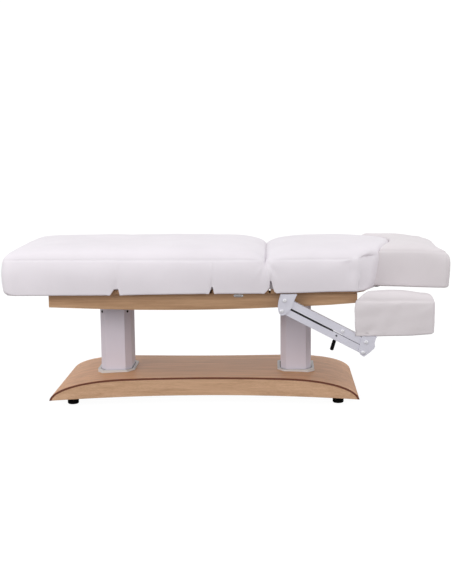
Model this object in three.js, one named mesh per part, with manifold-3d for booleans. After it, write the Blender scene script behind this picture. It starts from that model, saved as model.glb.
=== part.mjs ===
// Electric spa bed: two telescoping lift columns on an arched wooden base carry a
// four-section upholstered top (calf, thigh, seat, back), a tilting head section and
// two parallelogram armrests. Millimetres. +X towards the head end, +Z up.
// The near armrest (-Y) is modelled lowered, the far armrest (+Y) raised.
import * as THREE from "three";
import { mergeVertices } from "three/addons/utils/BufferGeometryUtils.js";
import Module from "manifold-3d";

// ---------------------------------------------------------------- driving dimensions
const MID_X = 115.6; // middle of the whole length, measured from the middle of the base
const GAP = 0.3; // between pieces that touch

const BASE = { half: 700, topT: 9, boardT: 18, waist: 242.5, flare: 72, tipZ: 36, midZ: 41.5 };
const BASE_TOP = [
  [0, 125.5], [200, 125.3], [330, 124.6], [410, 122.8], [480, 118.6], [540, 111.5],
  [590, 102], [630, 90.5], [662, 77], [684, 62], [696, 48], [700, 36],
]; // top edge of the arched cover, half the length
const FOOT = { x: 609, y: 215, r: 25.5, z: 30, stem: 7, stemZ: 41.7 };
const CHASSIS_Z = 42;
const COLUMN_X = { foot: -426, head: 417.5 };
const SLEEVE = { hx: 71, hy: 106, cx: 25.5, cy: 38, wall: 3, z0: 128, z1: 470 };
const INNER = { hx: 61, hy: 97.5, cx: 22, cy: 35, wall: 4, z0: 72.3, z1: 462 };
const COLLAR_TOP = 133;
const PLATE = { z0: 470.3, z1: 478.7, hy: 300 };
const RAIL = { y0: 262, y1: 300, z0: 479, z1: 527.7, x0: -664.7, x1: 666.7, wall: 2.5 };
const APRON = { y0: 312, y1: 330, top: 527.4, low: 522.5, lowFrom: 340, x0: -683, x1: 685 }; // low: under the armrest brackets
const APRON_EDGE = [
  [-683, 466], [-487, 458.7], [-282, 453.2], [-170, 452.3], [-58, 452.2], [58, 453.5],
  [218, 457.3], [350, 462.4], [486, 468.3], [567, 472], [674, 480.1], [685, 481],
];
const BOARD = { z0: 528, z1: 547, hy: 362 };
const PAD = { hy: 380, z0: 528, seam: 688, crown: 741 };
const FOOT_END = -880;
const HINGE_Z = 552;
const KNEE_X = -382, THIGH_X = 37, BACK_X = 297;
const NOTCH = 12; // half width of the slots in the skirts below each hinge line
const THIGH_V = 14.5, BACK_V = 33; // half angles of the foam folds, degrees
const HEAD = { x: 803, z: 540, droop: 1.9, hy: 258, z0: 550, seam: 707, crown: 738, end: 1106 };
const ARM = {
  A: [362.7, 499.9], B: [349.8, 452.5], L: 404.7, down: -27.5, up: 0,
  y0: 346, y1: 376, outer: 380, pinR: 5, headR: 7.5,
};
const ACT_Z = 462, ACT_Y = 135, LUG_R = 13;

// ---------------------------------------------------------------- helpers
const wasm = await Module();
wasm.setup();

function solid(geometry) {
  const g = geometry.index ? geometry.toNonIndexed() : geometry;
  const bare = new THREE.BufferGeometry().setAttribute("position", g.getAttribute("position"));
  const m = mergeVertices(bare, 1e-4);
  return new wasm.Manifold(
    new wasm.Mesh({
      numProp: 3,
      vertProperties: m.attributes.position.array,
      triVerts: new Uint32Array(m.index.array),
    }),
  );
}
function geometryOf(s) {
  const m = s.getMesh(), n = m.numProp, v = new Float32Array(m.numVert * 3);
  for (let i = 0; i < m.numVert; i++) v.set(m.vertProperties.subarray(i * n, i * n + 3), i * 3);
  const g = new THREE.BufferGeometry()
    .setAttribute("position", new THREE.BufferAttribute(v, 3))
    .setIndex(new THREE.BufferAttribute(new Uint32Array(m.triVerts), 1));
  const flat = g.toNonIndexed();
  flat.computeVertexNormals();
  return flat;
}
const v2 = (points) => points.map(([a, b]) => new THREE.Vector2(a, b));
function prism(points, depth, holes = []) {
  const shape = new THREE.Shape(v2(points));
  for (const h of holes) shape.holes.push(new THREE.Path(v2(h)));
  return new THREE.ExtrudeGeometry(shape, { depth, bevelEnabled: false, steps: 1 });
}
// outline in X,Z swept across Y
const prismXZ = (points, y0, y1, holes) =>
  solid(prism(points, y1 - y0, holes).rotateX(Math.PI / 2).translate(0, y1, 0));
// outline in X,Y swept up Z; lean moves it along X by lean for each mm above zRef
function prismXY(points, z0, z1, holes, lean = 0, zRef = 0) {
  const g = prism(points, z1 - z0, holes).translate(0, 0, z0);
  if (lean)
    g.applyMatrix4(new THREE.Matrix4().set(1, 0, lean, -lean * zRef, 0, 1, 0, 0, 0, 0, 1, 0, 0, 0, 0, 1));
  return solid(g);
}
// outline in Y,Z swept along X
const prismYZ = (points, x0, x1, holes) =>
  solid(
    prism(points, x1 - x0, holes).applyMatrix4(
      new THREE.Matrix4().set(0, 0, 1, x0, 1, 0, 0, 0, 0, 1, 0, 0, 0, 0, 0, 1),
    ),
  );
const box = (x0, x1, y0, y1, z0, z1) =>
  solid(
    new THREE.BoxGeometry(x1 - x0, y1 - y0, z1 - z0).translate((x0 + x1) / 2, (y0 + y1) / 2, (z0 + z1) / 2),
  );
const rodY = (x, z, r, y0, y1, n = 16) =>
  solid(new THREE.CylinderGeometry(r, r, y1 - y0, n).translate(x, (y0 + y1) / 2, z));
const rodZ = (x, y, r, z0, z1, n = 20) =>
  solid(new THREE.CylinderGeometry(r, r, z1 - z0, n).rotateX(Math.PI / 2).translate(x, y, (z0 + z1) / 2));
// a rod in the X,Z plane from s0 to s1 along the direction a (degrees) from x,z, at height y
function rodAlong(x, z, a, y, r, s0, s1, n = 16) {
  const t = (a * Math.PI) / 180;
  return solid(
    new THREE.CylinderGeometry(r, r, s1 - s0, n)
      .rotateZ(-Math.PI / 2)
      .translate((s0 + s1) / 2, 0, 0)
      .rotateY(-t)
      .translate(x, y, z),
  );
}
const mirrored = (points) => points.map(([a, b]) => [a, -b]);
const turned = (points, x, z, a) => {
  const c = Math.cos((a * Math.PI) / 180), s = Math.sin((a * Math.PI) / 180);
  return points.map(([p, q]) => [x + p * c - q * s, z + p * s + q * c]);
};
const arc = (cx, cy, r, a0, a1, n) =>
  Array.from({ length: n + 1 }, (_, i) => {
    const t = ((a0 + ((a1 - a0) * i) / n) * Math.PI) / 180;
    return [cx + r * Math.cos(t), cy + r * Math.sin(t)];
  });
const octagon = (x, hx, hy, cx, cy) => [
  [x - hx, -hy + cy], [x - hx + cx, -hy], [x + hx - cx, -hy], [x + hx, -hy + cy],
  [x + hx, hy - cy], [x + hx - cx, hy], [x - hx + cx, hy], [x - hx, hy - cy],
];
const union = (...s) => s.reduce((a, b) => a.add(b));
const cut = (a, ...s) => s.reduce((p, q) => p.subtract(q), a);
const meet = (...s) => s.reduce((a, b) => a.intersect(b));

// ---------------------------------------------------------------- materials
const mat = (color, roughness, metalness = 0) =>
  new THREE.MeshStandardMaterial({ color, roughness, metalness });
const M = {
  oak: mat(0xc9a075, 0.5),
  oakEdge: mat(0x8a4f32, 0.6),
  ply: mat(0xb58a5c, 0.7),
  paint: mat(0xcdc9d6, 0.38, 0.15),
  column: mat(0xc2bcc4, 0.35, 0.2),
  steel: mat(0x4a4c50, 0.5, 0.6),
  bright: mat(0xb9bcc0, 0.25, 0.95),
  rubber: mat(0x121212, 0.75),
  plastic: mat(0x2a2b2e, 0.55),
  collar: mat(0xe4e2e8, 0.4),
  hide: mat(0xf1eff2, 0.42),
};

const group = new THREE.Group();
const bed = new THREE.Group();
bed.position.x = -MID_X;
group.add(bed);
function place(name, s, material, parent = bed) {
  const mesh = new THREE.Mesh(s.isBufferGeometry ? s : geometryOf(s), material);
  mesh.name = name;
  parent.add(mesh);
  return mesh;
}

// ---------------------------------------------------------------- base
const halfCurve = new THREE.CatmullRomCurve3(
  BASE_TOP.map(([x, z]) => new THREE.Vector3(x, z, 0)), false, "centripetal",
).getPoints(22).map((p) => [p.x, p.y]);
const topCurve = [...halfCurve.slice(1).reverse().map(([x, z]) => [-x, z]), ...halfCurve];
// the cover's curve moved square to itself by d, inwards when d is positive
function offsetCurve(d) {
  return topCurve.map(([x, z], i) => {
    const a = topCurve[Math.max(i - 1, 0)], b = topCurve[Math.min(i + 1, topCurve.length - 1)];
    let tx = b[0] - a[0], tz = b[1] - a[1];
    if (i === 0) [tx, tz] = [0, 1];
    if (i === topCurve.length - 1) [tx, tz] = [0, -1];
    const l = Math.hypot(tx, tz);
    return [x + (d * tz) / l, z - (d * tx) / l];
  });
}
const waist = (x, inset) => BASE.waist + BASE.flare * (x / BASE.half) ** 2 - inset;
const stations = Array.from({ length: 25 }, (_, i) => -708 + (1416 * i) / 24);
const planStrip = (y0, y1) => [...stations.map((x) => [x, y0(x)]), ...stations.slice().reverse().map((x) => [x, y1(x)])];

const innerCurve = offsetCurve(BASE.topT);
const cover = meet(
  prismXZ([...topCurve, ...innerCurve.slice().reverse()], -330, 330),
  prismXY(planStrip((x) => -waist(x, 0), (x) => waist(x, 0)), 20, 140),
);
place(
  "base_top_panel",
  cut(
    cover,
    ...Object.values(COLUMN_X).map((x) => prismXY(octagon(x, 62, 98.5, 22.3, 35.3), 60, 150)),
  ),
  M.oak,
);
const boardTop = offsetCurve(BASE.topT + GAP);
const underside = boardTop.slice().reverse().map(([x]) => [
  x, BASE.midZ - (BASE.midZ - BASE.tipZ) * (x / (BASE.half - BASE.topT)) ** 2,
]);
const boardProfile = [...boardTop, ...underside.filter(([x]) => Math.abs(x) < 680)];
for (const [side, sgn] of [["near", -1], ["far", 1]]) {
  const a = (x) => sgn * waist(x, 1), b = (x) => sgn * waist(x, 1 + BASE.boardT);
  let s = meet(
    prismXZ(boardProfile, sgn < 0 ? -330 : 180, sgn < 0 ? -180 : 330),
    prismXY(planStrip(sgn < 0 ? a : b, sgn < 0 ? b : a), 20, 140),
  );
  if (sgn > 0) s = cut(s, box(-322.5, -277.5, 215, 270, 59.5, 84.5));
  place("base_side_board_" + side, s, M.oak);
}
place(
  "base_chassis",
  union(
    cut(box(-600, 600, -105, 105, CHASSIS_Z, 72), box(-560, 560, -101, 101, CHASSIS_Z - 5, 68)),
    box(-634, -584, -240, 240, CHASSIS_Z, 68),
    box(584, 634, -240, 240, CHASSIS_Z, 68),
  ),
  M.steel,
);
const footProfile = [[0, 0], [21.5, 0], [24.5, 2], [FOOT.r, 8], [FOOT.r, FOOT.z - 6], [21, FOOT.z], [FOOT.stem, FOOT.z], [FOOT.stem, FOOT.stemZ], [0, FOOT.stemZ]];
for (const [end, sx] of [["foot", -1], ["head", 1]])
  for (const [side, sy] of [["near", -1], ["far", 1]])
    place(
      `rubber_foot_${end}_${side}`,
      solid(new THREE.LatheGeometry(v2(footProfile), 20).rotateX(Math.PI / 2).translate(sx * FOOT.x, sy * FOOT.y, 0)),
      M.rubber,
    );
const liftedCurve = topCurve.map(([x, z]) => [x, z + GAP]);
const underCover = prismXZ([...liftedCurve, [700, 20], [-700, 20]], -320, 320);
for (const [end, x] of Object.entries(COLUMN_X)) {
  place(
    "column_collar_" + end,
    cut(prismXY(octagon(x, 86.5, 123, 30, 44), 100, COLLAR_TOP, [octagon(x, 74.5, 111, 26.5, 39)]), underCover),
    M.collar,
  );
  place(
    "column_inner_tube_" + end,
    prismXY(octagon(x, INNER.hx, INNER.hy, INNER.cx, INNER.cy), INNER.z0, INNER.z1, [
      octagon(x, INNER.hx - 4, INNER.hy - 4, INNER.cx - 1.5, INNER.cy - 2),
    ]),
    M.bright,
  );
  place("lift_spindle_" + end, union(rodZ(x, 0, 12, 72.3, 440), rodZ(x, 0, 30, 72.3, 118)), M.bright);
  place(
    "column_sleeve_" + end,
    prismXY(octagon(x, SLEEVE.hx, SLEEVE.hy, SLEEVE.cx, SLEEVE.cy), SLEEVE.z0, SLEEVE.z1, [
      octagon(x, SLEEVE.hx - 3, SLEEVE.hy - 3, SLEEVE.cx - 1.2, SLEEVE.cy - 1.4),
    ]),
    M.column,
  );
}
place(
  "power_inlet",
  cut(
    union(box(-321, -279, 228, 258, 61, 83), box(-326, -274, 257.6, 261, 56, 88)),
    box(-315, -285, 245, 262, 64, 80),
  ),
  M.plastic,
);

// ---------------------------------------------------------------- lifting frame
// ear for an actuator's rear pivot, reaching out of the plate edge at x0 to the pivot at px
function ear(x0, px, y) {
  const s = Math.sign(px - x0);
  const outline = [
    [x0 - 40 * s, 471], [x0, 475], [px, ACT_Z + LUG_R],
    ...arc(px, ACT_Z, LUG_R, s > 0 ? 60 : 120, s > 0 ? -90 : 270, 8),
    [x0, ACT_Z - LUG_R + 2], [x0 - 40 * s, 465],
  ];
  return cut(prismXZ(outline, y - 3, y + 3), rodY(px, ACT_Z, 6.3, y - 5, y + 5));
}
const BACK_PIVOT = -325, LEG_PIVOT = 325;
const pushTube = (x) => cut(rodZ(x, 0, 22, 130, 474), rodZ(x, 0, 14, 120, 465));
place(
  "column_head_plate_foot",
  union(box(-515, -345, -PLATE.hy, PLATE.hy, PLATE.z0, PLATE.z1), pushTube(COLUMN_X.foot), ear(-345, BACK_PIVOT, ACT_Y)),
  M.steel,
);
place(
  "column_head_plate_head",
  // the slot lets the back section's lug swing past the plate
  cut(
    union(box(345, 505, -PLATE.hy, PLATE.hy, PLATE.z0, PLATE.z1), pushTube(COLUMN_X.head), ear(345, LEG_PIVOT, -ACT_Y)),
    box(340, 376, ACT_Y - 9, ACT_Y + 9, 465, 485),
  ),
  M.steel,
);
const rect = (a0, a1, b0, b1) => [[a0, b0], [a1, b0], [a1, b1], [a0, b1]];
for (const [side, s] of [["near", -1], ["far", 1]]) {
  const w = RAIL.wall, ya = s < 0 ? -RAIL.y1 : RAIL.y0, yb = s < 0 ? -RAIL.y0 : RAIL.y1;
  place(
    "frame_rail_" + side,
    prismYZ(rect(ya, yb, RAIL.z0, RAIL.z1), RAIL.x0, RAIL.x1, [rect(ya + w, yb - w, RAIL.z0 + w, RAIL.z1 - w)]),
    M.steel,
  );
  place(
    "apron_" + side,
    prismXZ([...APRON_EDGE, [APRON.x1, APRON.low], [APRON.lowFrom, APRON.low], [APRON.lowFrom, APRON.top], [APRON.x0, APRON.top]], s < 0 ? -APRON.y1 : APRON.y0, s < 0 ? -APRON.y0 : APRON.y1),
    M.oak,
  );
}
place("apron_foot_end", box(-683, -665, -311.7, 311.7, 466.3, APRON.top), M.oak);
place("apron_head_end", box(667, 685, -311.7, 311.7, 481, APRON.low), M.oak);
place(
  "control_box",
  box(-250, -80, -261.6, -171, 486, 522),
  M.plastic,
);

// ---------------------------------------------------------------- boards and upholstery
const boardPrism = (outline) => prismXY(outline, BOARD.z0, BOARD.z1);
const recess = (outline, grow = 0.4) => {
  // the same outline, a little larger, cut up into the pad from below
  const cx = outline.reduce((a, p) => a + p[0], 0) / outline.length;
  return prismXY(
    outline.map(([x, y]) => [x + Math.sign(x - cx) * grow, y + Math.sign(y) * grow]),
    BOARD.z0 - 20, BOARD.z1 + 0.4,
  );
};
function crown(hy, z0, seam, top) {
  const h = top - seam;
  const right = [[hy, z0], [hy, seam], [hy - 14, seam + 0.4 * h], [hy - 40, seam + 0.66 * h], [hy - 95, seam + 0.84 * h], [hy - 190, seam + 0.95 * h]];
  return [...right, [0, top], ...right.slice().reverse().map(([y, z]) => [-y, z])];
}
const padBar = (x0, x1) => prismYZ(crown(PAD.hy, PAD.z0, PAD.seam, PAD.crown), x0, x1);
const vRun = (deg, z = PAD.crown) => (z - HINGE_Z) * Math.tan((deg * Math.PI) / 180);
const panel = (x0, x1, r) => [
  [x0, -BOARD.hy + r], [x0 + r, -BOARD.hy], [x1 - 4, -BOARD.hy], [x1, -BOARD.hy + 4],
  [x1, BOARD.hy - 4], [x1 - 4, BOARD.hy], [x0 + r, BOARD.hy], [x0, BOARD.hy - r],
];

// the boards reach close behind the skirts, so their edges are seen through the slots
const calfBoard = panel(-860, KNEE_X - 3, 24), thighBoard = panel(KNEE_X + 3, THIGH_X - 4, 4),
  seatBoard = panel(THIGH_X + 4, BACK_X - 4, 4);
// the two boards at the knee are bevelled below, so that they can fold together
const kneeBevel = prismXZ(
  [[KNEE_X - 12, BOARD.z0 - 1], [KNEE_X + 12, BOARD.z0 - 1], [KNEE_X + 3, BOARD.z1 + 1], [KNEE_X - 3, BOARD.z1 + 1]], -400, 400,
);
place("calf_board", cut(boardPrism(calfBoard), kneeBevel), M.ply);
place("thigh_board", cut(boardPrism(thighBoard), kneeBevel), M.ply);
place("seat_board", boardPrism(seatBoard), M.ply);

const z2 = PAD.crown + 5;
place(
  "calf_cushion",
  cut(
    meet(
      padBar(FOOT_END, KNEE_X),
      prismXZ(
        [
          [FOOT_END, 545], [FOOT_END + 12, PAD.z0], [KNEE_X - NOTCH, PAD.z0], [KNEE_X - NOTCH, HINGE_Z], [KNEE_X - 0.5, HINGE_Z],
          [KNEE_X - 0.5, z2], [FOOT_END + 190, z2], [FOOT_END + 90, 736], [FOOT_END + 42, 724], [FOOT_END + 14, 706], [FOOT_END, 686],
        ],
        -400, 400,
      ),
      prismXY(
        [
          [FOOT_END, -336], [FOOT_END + 9, -362], [FOOT_END + 36, -380], [KNEE_X, -380], [KNEE_X, 380],
          [FOOT_END + 36, 380], [FOOT_END + 9, 362], [FOOT_END, 336],
        ],
        500, 800,
      ),
    ),
    recess(calfBoard),
  ),
  M.hide,
);
place(
  "thigh_cushion",
  cut(
    meet(
      padBar(KNEE_X, THIGH_X),
      prismXZ(
        [
          [KNEE_X + NOTCH, PAD.z0], [THIGH_X - NOTCH, PAD.z0], [THIGH_X - NOTCH, HINGE_Z], [THIGH_X - 2, HINGE_Z],
          [THIGH_X - 2 - vRun(THIGH_V, z2), z2], [KNEE_X + 0.5, z2], [KNEE_X + 0.5, HINGE_Z], [KNEE_X + NOTCH, HINGE_Z],
        ],
        -400, 400,
      ),
    ),
    recess(thighBoard),
  ),
  M.hide,
);
place(
  "seat_cushion",
  cut(
    meet(
      padBar(THIGH_X, BACK_X),
      prismXZ(
        [
          [THIGH_X + NOTCH, PAD.z0], [BACK_X - NOTCH, PAD.z0], [BACK_X - NOTCH, HINGE_Z], [BACK_X - 2, HINGE_Z],
          [BACK_X - 2 - vRun(BACK_V, z2), z2], [THIGH_X + 2 + vRun(THIGH_V, z2), z2], [THIGH_X + 2, HINGE_Z], [THIGH_X + NOTCH, HINGE_Z],
        ],
        -400, 400,
      ),
    ),
    recess(seatBoard),
  ),
  M.hide,
);
// foam wedges that fill the two folds; they are squeezed flat as a section rises
function wedge(x, deg) {
  const run = (z) => (z - HINGE_Z) * Math.tan((deg * Math.PI) / 180) + 1.4;
  return meet(
    prismYZ(crown(PAD.hy - 1, PAD.z0, PAD.seam, PAD.crown - 1), x - 300, x + 300),
    prismXZ([[x - run(HINGE_Z + 3), HINGE_Z + 3], [x + run(HINGE_Z + 3), HINGE_Z + 3], [x + run(z2), z2], [x - run(z2), z2]], -400, 400),
  );
}
place("thigh_fold_wedge", wedge(THIGH_X, THIGH_V), M.hide);
place("back_fold_wedge", wedge(BACK_X, BACK_V), M.hide);

// back section: square shoulders cut back towards the head section, bowed leaning end
const backBoard = [
  [BACK_X + 4, -362], [664, -362], [716, -306], [756, -180], [780, 0], [756, 180], [716, 306], [664, 362], [BACK_X + 4, 362],
];
place("back_board", boardPrism(backBoard), M.ply);
const BOW = [[732, -400], [785, -270], [840, -135], [860, 0], [840, 135], [785, 270], [732, 400]];
const beyondBow = prismXY([...BOW, [1100, 400], [1100, -400]], 480, 800, [], 0.175, 690);
place(
  "back_cushion",
  cut(
    meet(
      padBar(BACK_X, 900),
      prismXZ(
        [
          [BACK_X + NOTCH, PAD.z0], [900, PAD.z0], [900, z2], [BACK_X + 2 + vRun(BACK_V, z2), z2],
          [BACK_X + 2, HINGE_Z], [BACK_X + NOTCH, HINGE_Z],
        ],
        -400, 400,
      ),
      prismXY([[290, -380], [683, -380], [870, -178.3], [900, -150], [900, 150], [870, 178.3], [683, 380], [290, 380]], 500, 800),
    ),
    beyondBow,
    recess(backBoard),
    box(783, 900, -152, 152, 500, 566),
  ),
  M.hide,
);

// cross bar with the actuator lug, x mirrored about the hinge line when dir is -1
function crossbar(hx, dir, y) {
  const p = (dx, dz) => [hx + dir * dx, HINGE_Z + dz];
  const tip = p(-75, -80);
  const lug = [
    p(38, -25), p(38, -49), p(10, -56), p(-55, -93),
    ...arc(tip[0], tip[1], LUG_R, dir > 0 ? -60 : 240, dir > 0 ? -220 : 400, 8),
    p(-20, -37), p(2, -26),
  ];
  return union(
    box(Math.min(hx + dir * 8, hx + dir * 38), Math.max(hx + dir * 8, hx + dir * 38), -250, 250, 503, 527.7),
    cut(prismXZ(lug, y - 3, y + 3), rodY(tip[0], tip[1], 6, y - 5, y + 5)),
  );
}
place("back_crossbar", crossbar(BACK_X, 1, ACT_Y), M.steel);
place("thigh_crossbar", crossbar(THIGH_X, -1, -ACT_Y), M.steel);
place("back_rail_near", box(336, 664, -250, -226, 503, 527.7), M.steel);
place("back_rail_far", box(336, 664, 226, 250, 503, 527.7), M.steel);
const hingeEar = (y) =>
  cut(
    prismXZ([[745, 524.5], [792, 524.5], ...arc(HEAD.x, HEAD.z, 12, -50, 150, 8), [784.6, 527.7], [745, 527.7]], y - 3, y + 3),
    rodY(HEAD.x, HEAD.z, 6.4, y - 5, y + 5),
  );
place(
  "head_hinge_bracket",
  union(box(700, 774, -143, 143, 524.5, 527.7), hingeEar(-140), hingeEar(140)),
  M.steel,
);

// ---------------------------------------------------------------- head section, drooping a little at rest
const headPivot = new THREE.Group();
headPivot.position.set(HEAD.x, 0, HEAD.z);
headPivot.rotation.y = (HEAD.droop * Math.PI) / 180;
bed.add(headPivot);
const headParts = new THREE.Group();
headParts.position.set(-HEAD.x, 0, -HEAD.z);
headPivot.add(headParts);
place(
  "head_frame",
  union(
    rodY(HEAD.x, HEAD.z, 9, -134, 134, 20), rodY(HEAD.x, HEAD.z, 6, -146, 146, 20),
    box(HEAD.x, 960, -120, -92, 545.4, 549.5), box(HEAD.x, 960, 92, 120, 545.4, 549.5),
  ),
  M.steel, headParts,
);
const headBoard = [[800, -238], [1070, -238], [1092, -216], [1092, 216], [1070, 238], [800, 238], [842, 130], [866, 0], [842, -130]];
place("head_board", prismXY(headBoard, 551, 564), M.ply, headParts);
const H = HEAD, hh = H.crown - H.seam;
place(
  "head_cushion",
  cut(
    meet(
      prismYZ(
        [
          [H.hy, H.z0], [H.hy, H.seam], [H.hy - 12, H.seam + 0.4 * hh], [H.hy - 38, H.seam + 0.68 * hh], [H.hy - 100, H.seam + 0.88 * hh], [0, H.crown],
          [-H.hy + 100, H.seam + 0.88 * hh], [-H.hy + 38, H.seam + 0.68 * hh], [-H.hy + 12, H.seam + 0.4 * hh], [-H.hy, H.seam], [-H.hy, H.z0],
        ],
        700, H.end,
      ),
      prismXZ(
        [
          [700, H.z0], [H.end - 12, H.z0], [H.end, H.z0 + 14], [H.end, H.seam - 6], [H.end - 10, H.seam + 8], [H.end - 40, H.seam + 20],
          [H.end - 100, H.crown - 3], [H.end - 160, H.crown + 5], [700, H.crown + 5],
        ],
        -300, 300,
      ),
      prismXY(
        [
          [700, -H.hy], [H.end - 40, -H.hy], [H.end - 12, -H.hy + 12], [H.end, -H.hy + 42],
          [H.end, H.hy - 42], [H.end - 12, H.hy - 12], [H.end - 40, H.hy], [700, H.hy],
        ],
        500, 800,
      ),
    ),
    // everything on the back section's side of the joint between the two pads
    prismXY([[600, -400], ...BOW.map(([x, y]) => [x + 20, y]), [600, 400]], 480, 800, [], 0.26, 690),
    prismXY(headBoard.map(([x, y]) => [x + (x > 950 ? 0.5 : -0.6), y + Math.sign(y) * 0.5]), 500, 564.4),
  ),
  M.hide, headParts,
);

// ---------------------------------------------------------------- armrests
function armrest(side, sgn, angle) {
  const rad = (angle * Math.PI) / 180;
  const C = [ARM.A[0] + ARM.L * Math.cos(rad), ARM.A[1] + ARM.L * Math.sin(rad)];
  const D = [ARM.B[0] + ARM.L * Math.cos(rad), ARM.B[1] + ARM.L * Math.sin(rad)];
  const down = (ARM.down * Math.PI) / 180;
  const dx = C[0] - (ARM.A[0] + ARM.L * Math.cos(down)), dz = C[1] - (ARM.A[1] + ARM.L * Math.sin(down));
  const span = (a, b) => (sgn < 0 ? [-b, -a] : [a, b]);
  const flat = (points, a, b) => prismXZ(points, ...span(a, b));
  const pin = (p, r, a, b, n) => rodY(p[0], p[1], r, ...span(a, b), n);
  const bolts = (list) => list.map((p) => union(pin(p, ARM.pinR, 342, 382), pin(p, ARM.headR, ARM.outer - 1, ARM.outer + 4)));

  const upperPlate = [
    [345, 527.7], [342.9, 519.2], [335.4, 493.8], [332.6, 469.6], [334.3, 453.5], [339.6, 440], [348, 433.7],
    [356, 433.4], [364.8, 437.6], [381.6, 452.4], [394.9, 468], [405.6, 501.9], [417.1, 527.7],
  ];
  place(
    "arm_upper_bracket_" + side,
    union(
      flat(upperPlate, 376.5, ARM.outer), flat(upperPlate, 341.6, 345.5),
      flat([[349, 523.2], [411, 523.2], [411, 527.7], [349, 527.7]], 303, 378),
      ...bolts([ARM.A, ARM.B]),
    ),
    M.paint,
  );
  // C-section bar between the plates: web outside, lips above and below, open inwards
  function bar(origin, outline, inner, extra = []) {
    const o = turned(outline, ...origin, angle), i = turned(inner, ...origin, angle);
    const holes = [0, ARM.L].map((s) => turned([[s, 0]], ...origin, angle)[0]);
    return cut(
      union(flat(o, ARM.y0, ARM.y1), ...extra),
      flat(i, ARM.y0 - 5, ARM.y1 - 3),
      ...holes.map((p) => pin(p, ARM.pinR + 0.6, ARM.y0 - 10, ARM.y1 + 10)),
    );
  }
  const L = ARM.L;
  const boltAt = turned([[290.1, -5.1]], ...ARM.A, angle)[0];
  place(
    "arm_upper_link_" + side,
    bar(
      ARM.A,
      [[-14, -8], [-14, 8], [-8, 14], [361, 14], [385, 5], [L + 10, 5], [L + 14, 0], [L + 14, -12], [L + 8, -22], [310, -22], [292, -19], [-6, -19]],
      [[12, -16], [12, 11], [340, 11], [340, -16]],
      [pin(boltAt, 7, ARM.y1 - 1, ARM.y1 + 3)],
    ),
    M.paint,
  );
  const leverAt = turned([[265.1, 12.7]], ...ARM.B, angle)[0];
  place(
    "arm_lower_link_" + side,
    cut(
      bar(
        ARM.B,
        [[-10, -4], [-6, -8], [L + 6, -8], [L + 12, -2], [L + 12, 16], [L + 6, 23], [-8, 23], [-12, 17], [-12, 2]],
        [[14, -5], [14, 20], [L - 16, 20], [L - 16, -5]],
      ),
      pin(leverAt, 4.5, ARM.y0 - 10, ARM.y1 + 10),
    ),
    M.paint,
  );
  // release lever: steel strip behind the lower bar, stud through its web, rubber grip below
  const strip = turned([[-6, 5], [6, 5], [5, -30], [-5, -30]], ...leverAt, angle + 10.9);
  const gripDir = angle + 10.9 - 90;
  place(
    "arm_release_lever_" + side,
    union(
      flat(strip, 341.8, 345.6), pin(leverAt, 4, 342, 376.6, 12),
      solid(
        new THREE.CylinderGeometry(4, 7.5, 5, 16).rotateZ(Math.PI / 2).translate(27, 0, 0)
          .rotateY((-gripDir * Math.PI) / 180).translate(leverAt[0], sgn * 351, leverAt[1]),
      ),
      rodAlong(leverAt[0], leverAt[1], gripDir, sgn * 351, 7.5, 29, 69),
      solid(
        new THREE.CylinderGeometry(7.5, 4, 4, 16).rotateZ(Math.PI / 2).translate(70.5, 0, 0)
          .rotateY((-gripDir * Math.PI) / 180).translate(leverAt[0], sgn * 351, leverAt[1]),
      ),
      box(...turned([[0, -28]], ...leverAt, angle + 10.9)[0].slice(0, 1).flatMap((x) => [x - 3, x + 3]), ...span(343, 352),
        turned([[0, -30]], ...leverAt, angle + 10.9)[0][1] - 4, turned([[0, -30]], ...leverAt, angle + 10.9)[0][1] + 0.5),
    ),
    M.rubber,
  );
  const move = (points) => points.map(([x, z]) => [x + dx, z + dz]);
  const lowerPlate = move([
    [701.5, 337.6], [701.2, 333.1], [691.7, 295.6], [687, 273], [697.3, 256], [712.1, 246.6], [737.7, 265.1],
    [758, 284], [761.4, 293.5], [759.5, 306.6], [764.6, 328.7], [772.1, 337.6],
  ]);
  place(
    "arm_lower_bracket_" + side,
    union(
      flat(lowerPlate, 376.5, ARM.outer), flat(lowerPlate, 341.6, 345.5),
      flat(move([[706, 333.8], [765, 333.8], [765, 337.6], [706, 337.6]]), 300, 378),
      ...bolts([C, D]),
    ),
    M.paint,
  );
  const s3 = sgn < 0 ? mirrored : (p) => p;
  place(
    "arm_cushion_" + side,
    meet(
      flat(
        move([
          [683, 356], [690, 345], [702, 338], [880, 338], [960, 341], [1014, 346], [1026, 357], [1026, 492], [1021, 507],
          [1000, 518], [930, 531], [850, 538], [775, 537], [715, 527], [688, 512], [683, 498],
        ]),
        260, 390,
      ),
      prismXY(
        s3([[683, 380], [1008, 380], [1026, 364], [1026, 306], [1008, 290], [900, 276], [786, 270]].map(([x, y]) => [x + dx, y])),
        200, 800,
      ),
      prismYZ(
        [[380, 338], [380, 497], [374, 512], [356, 529], [325, 538], [296, 532], [276, 514], [268, 497], [268, 338]].map(([y, z]) => [sgn * y, z + dz]),
        600, 1200,
      ),
    ),
    M.hide,
  );
}
armrest("near", -1, ARM.down);
armrest("far", 1, ARM.up);

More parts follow.
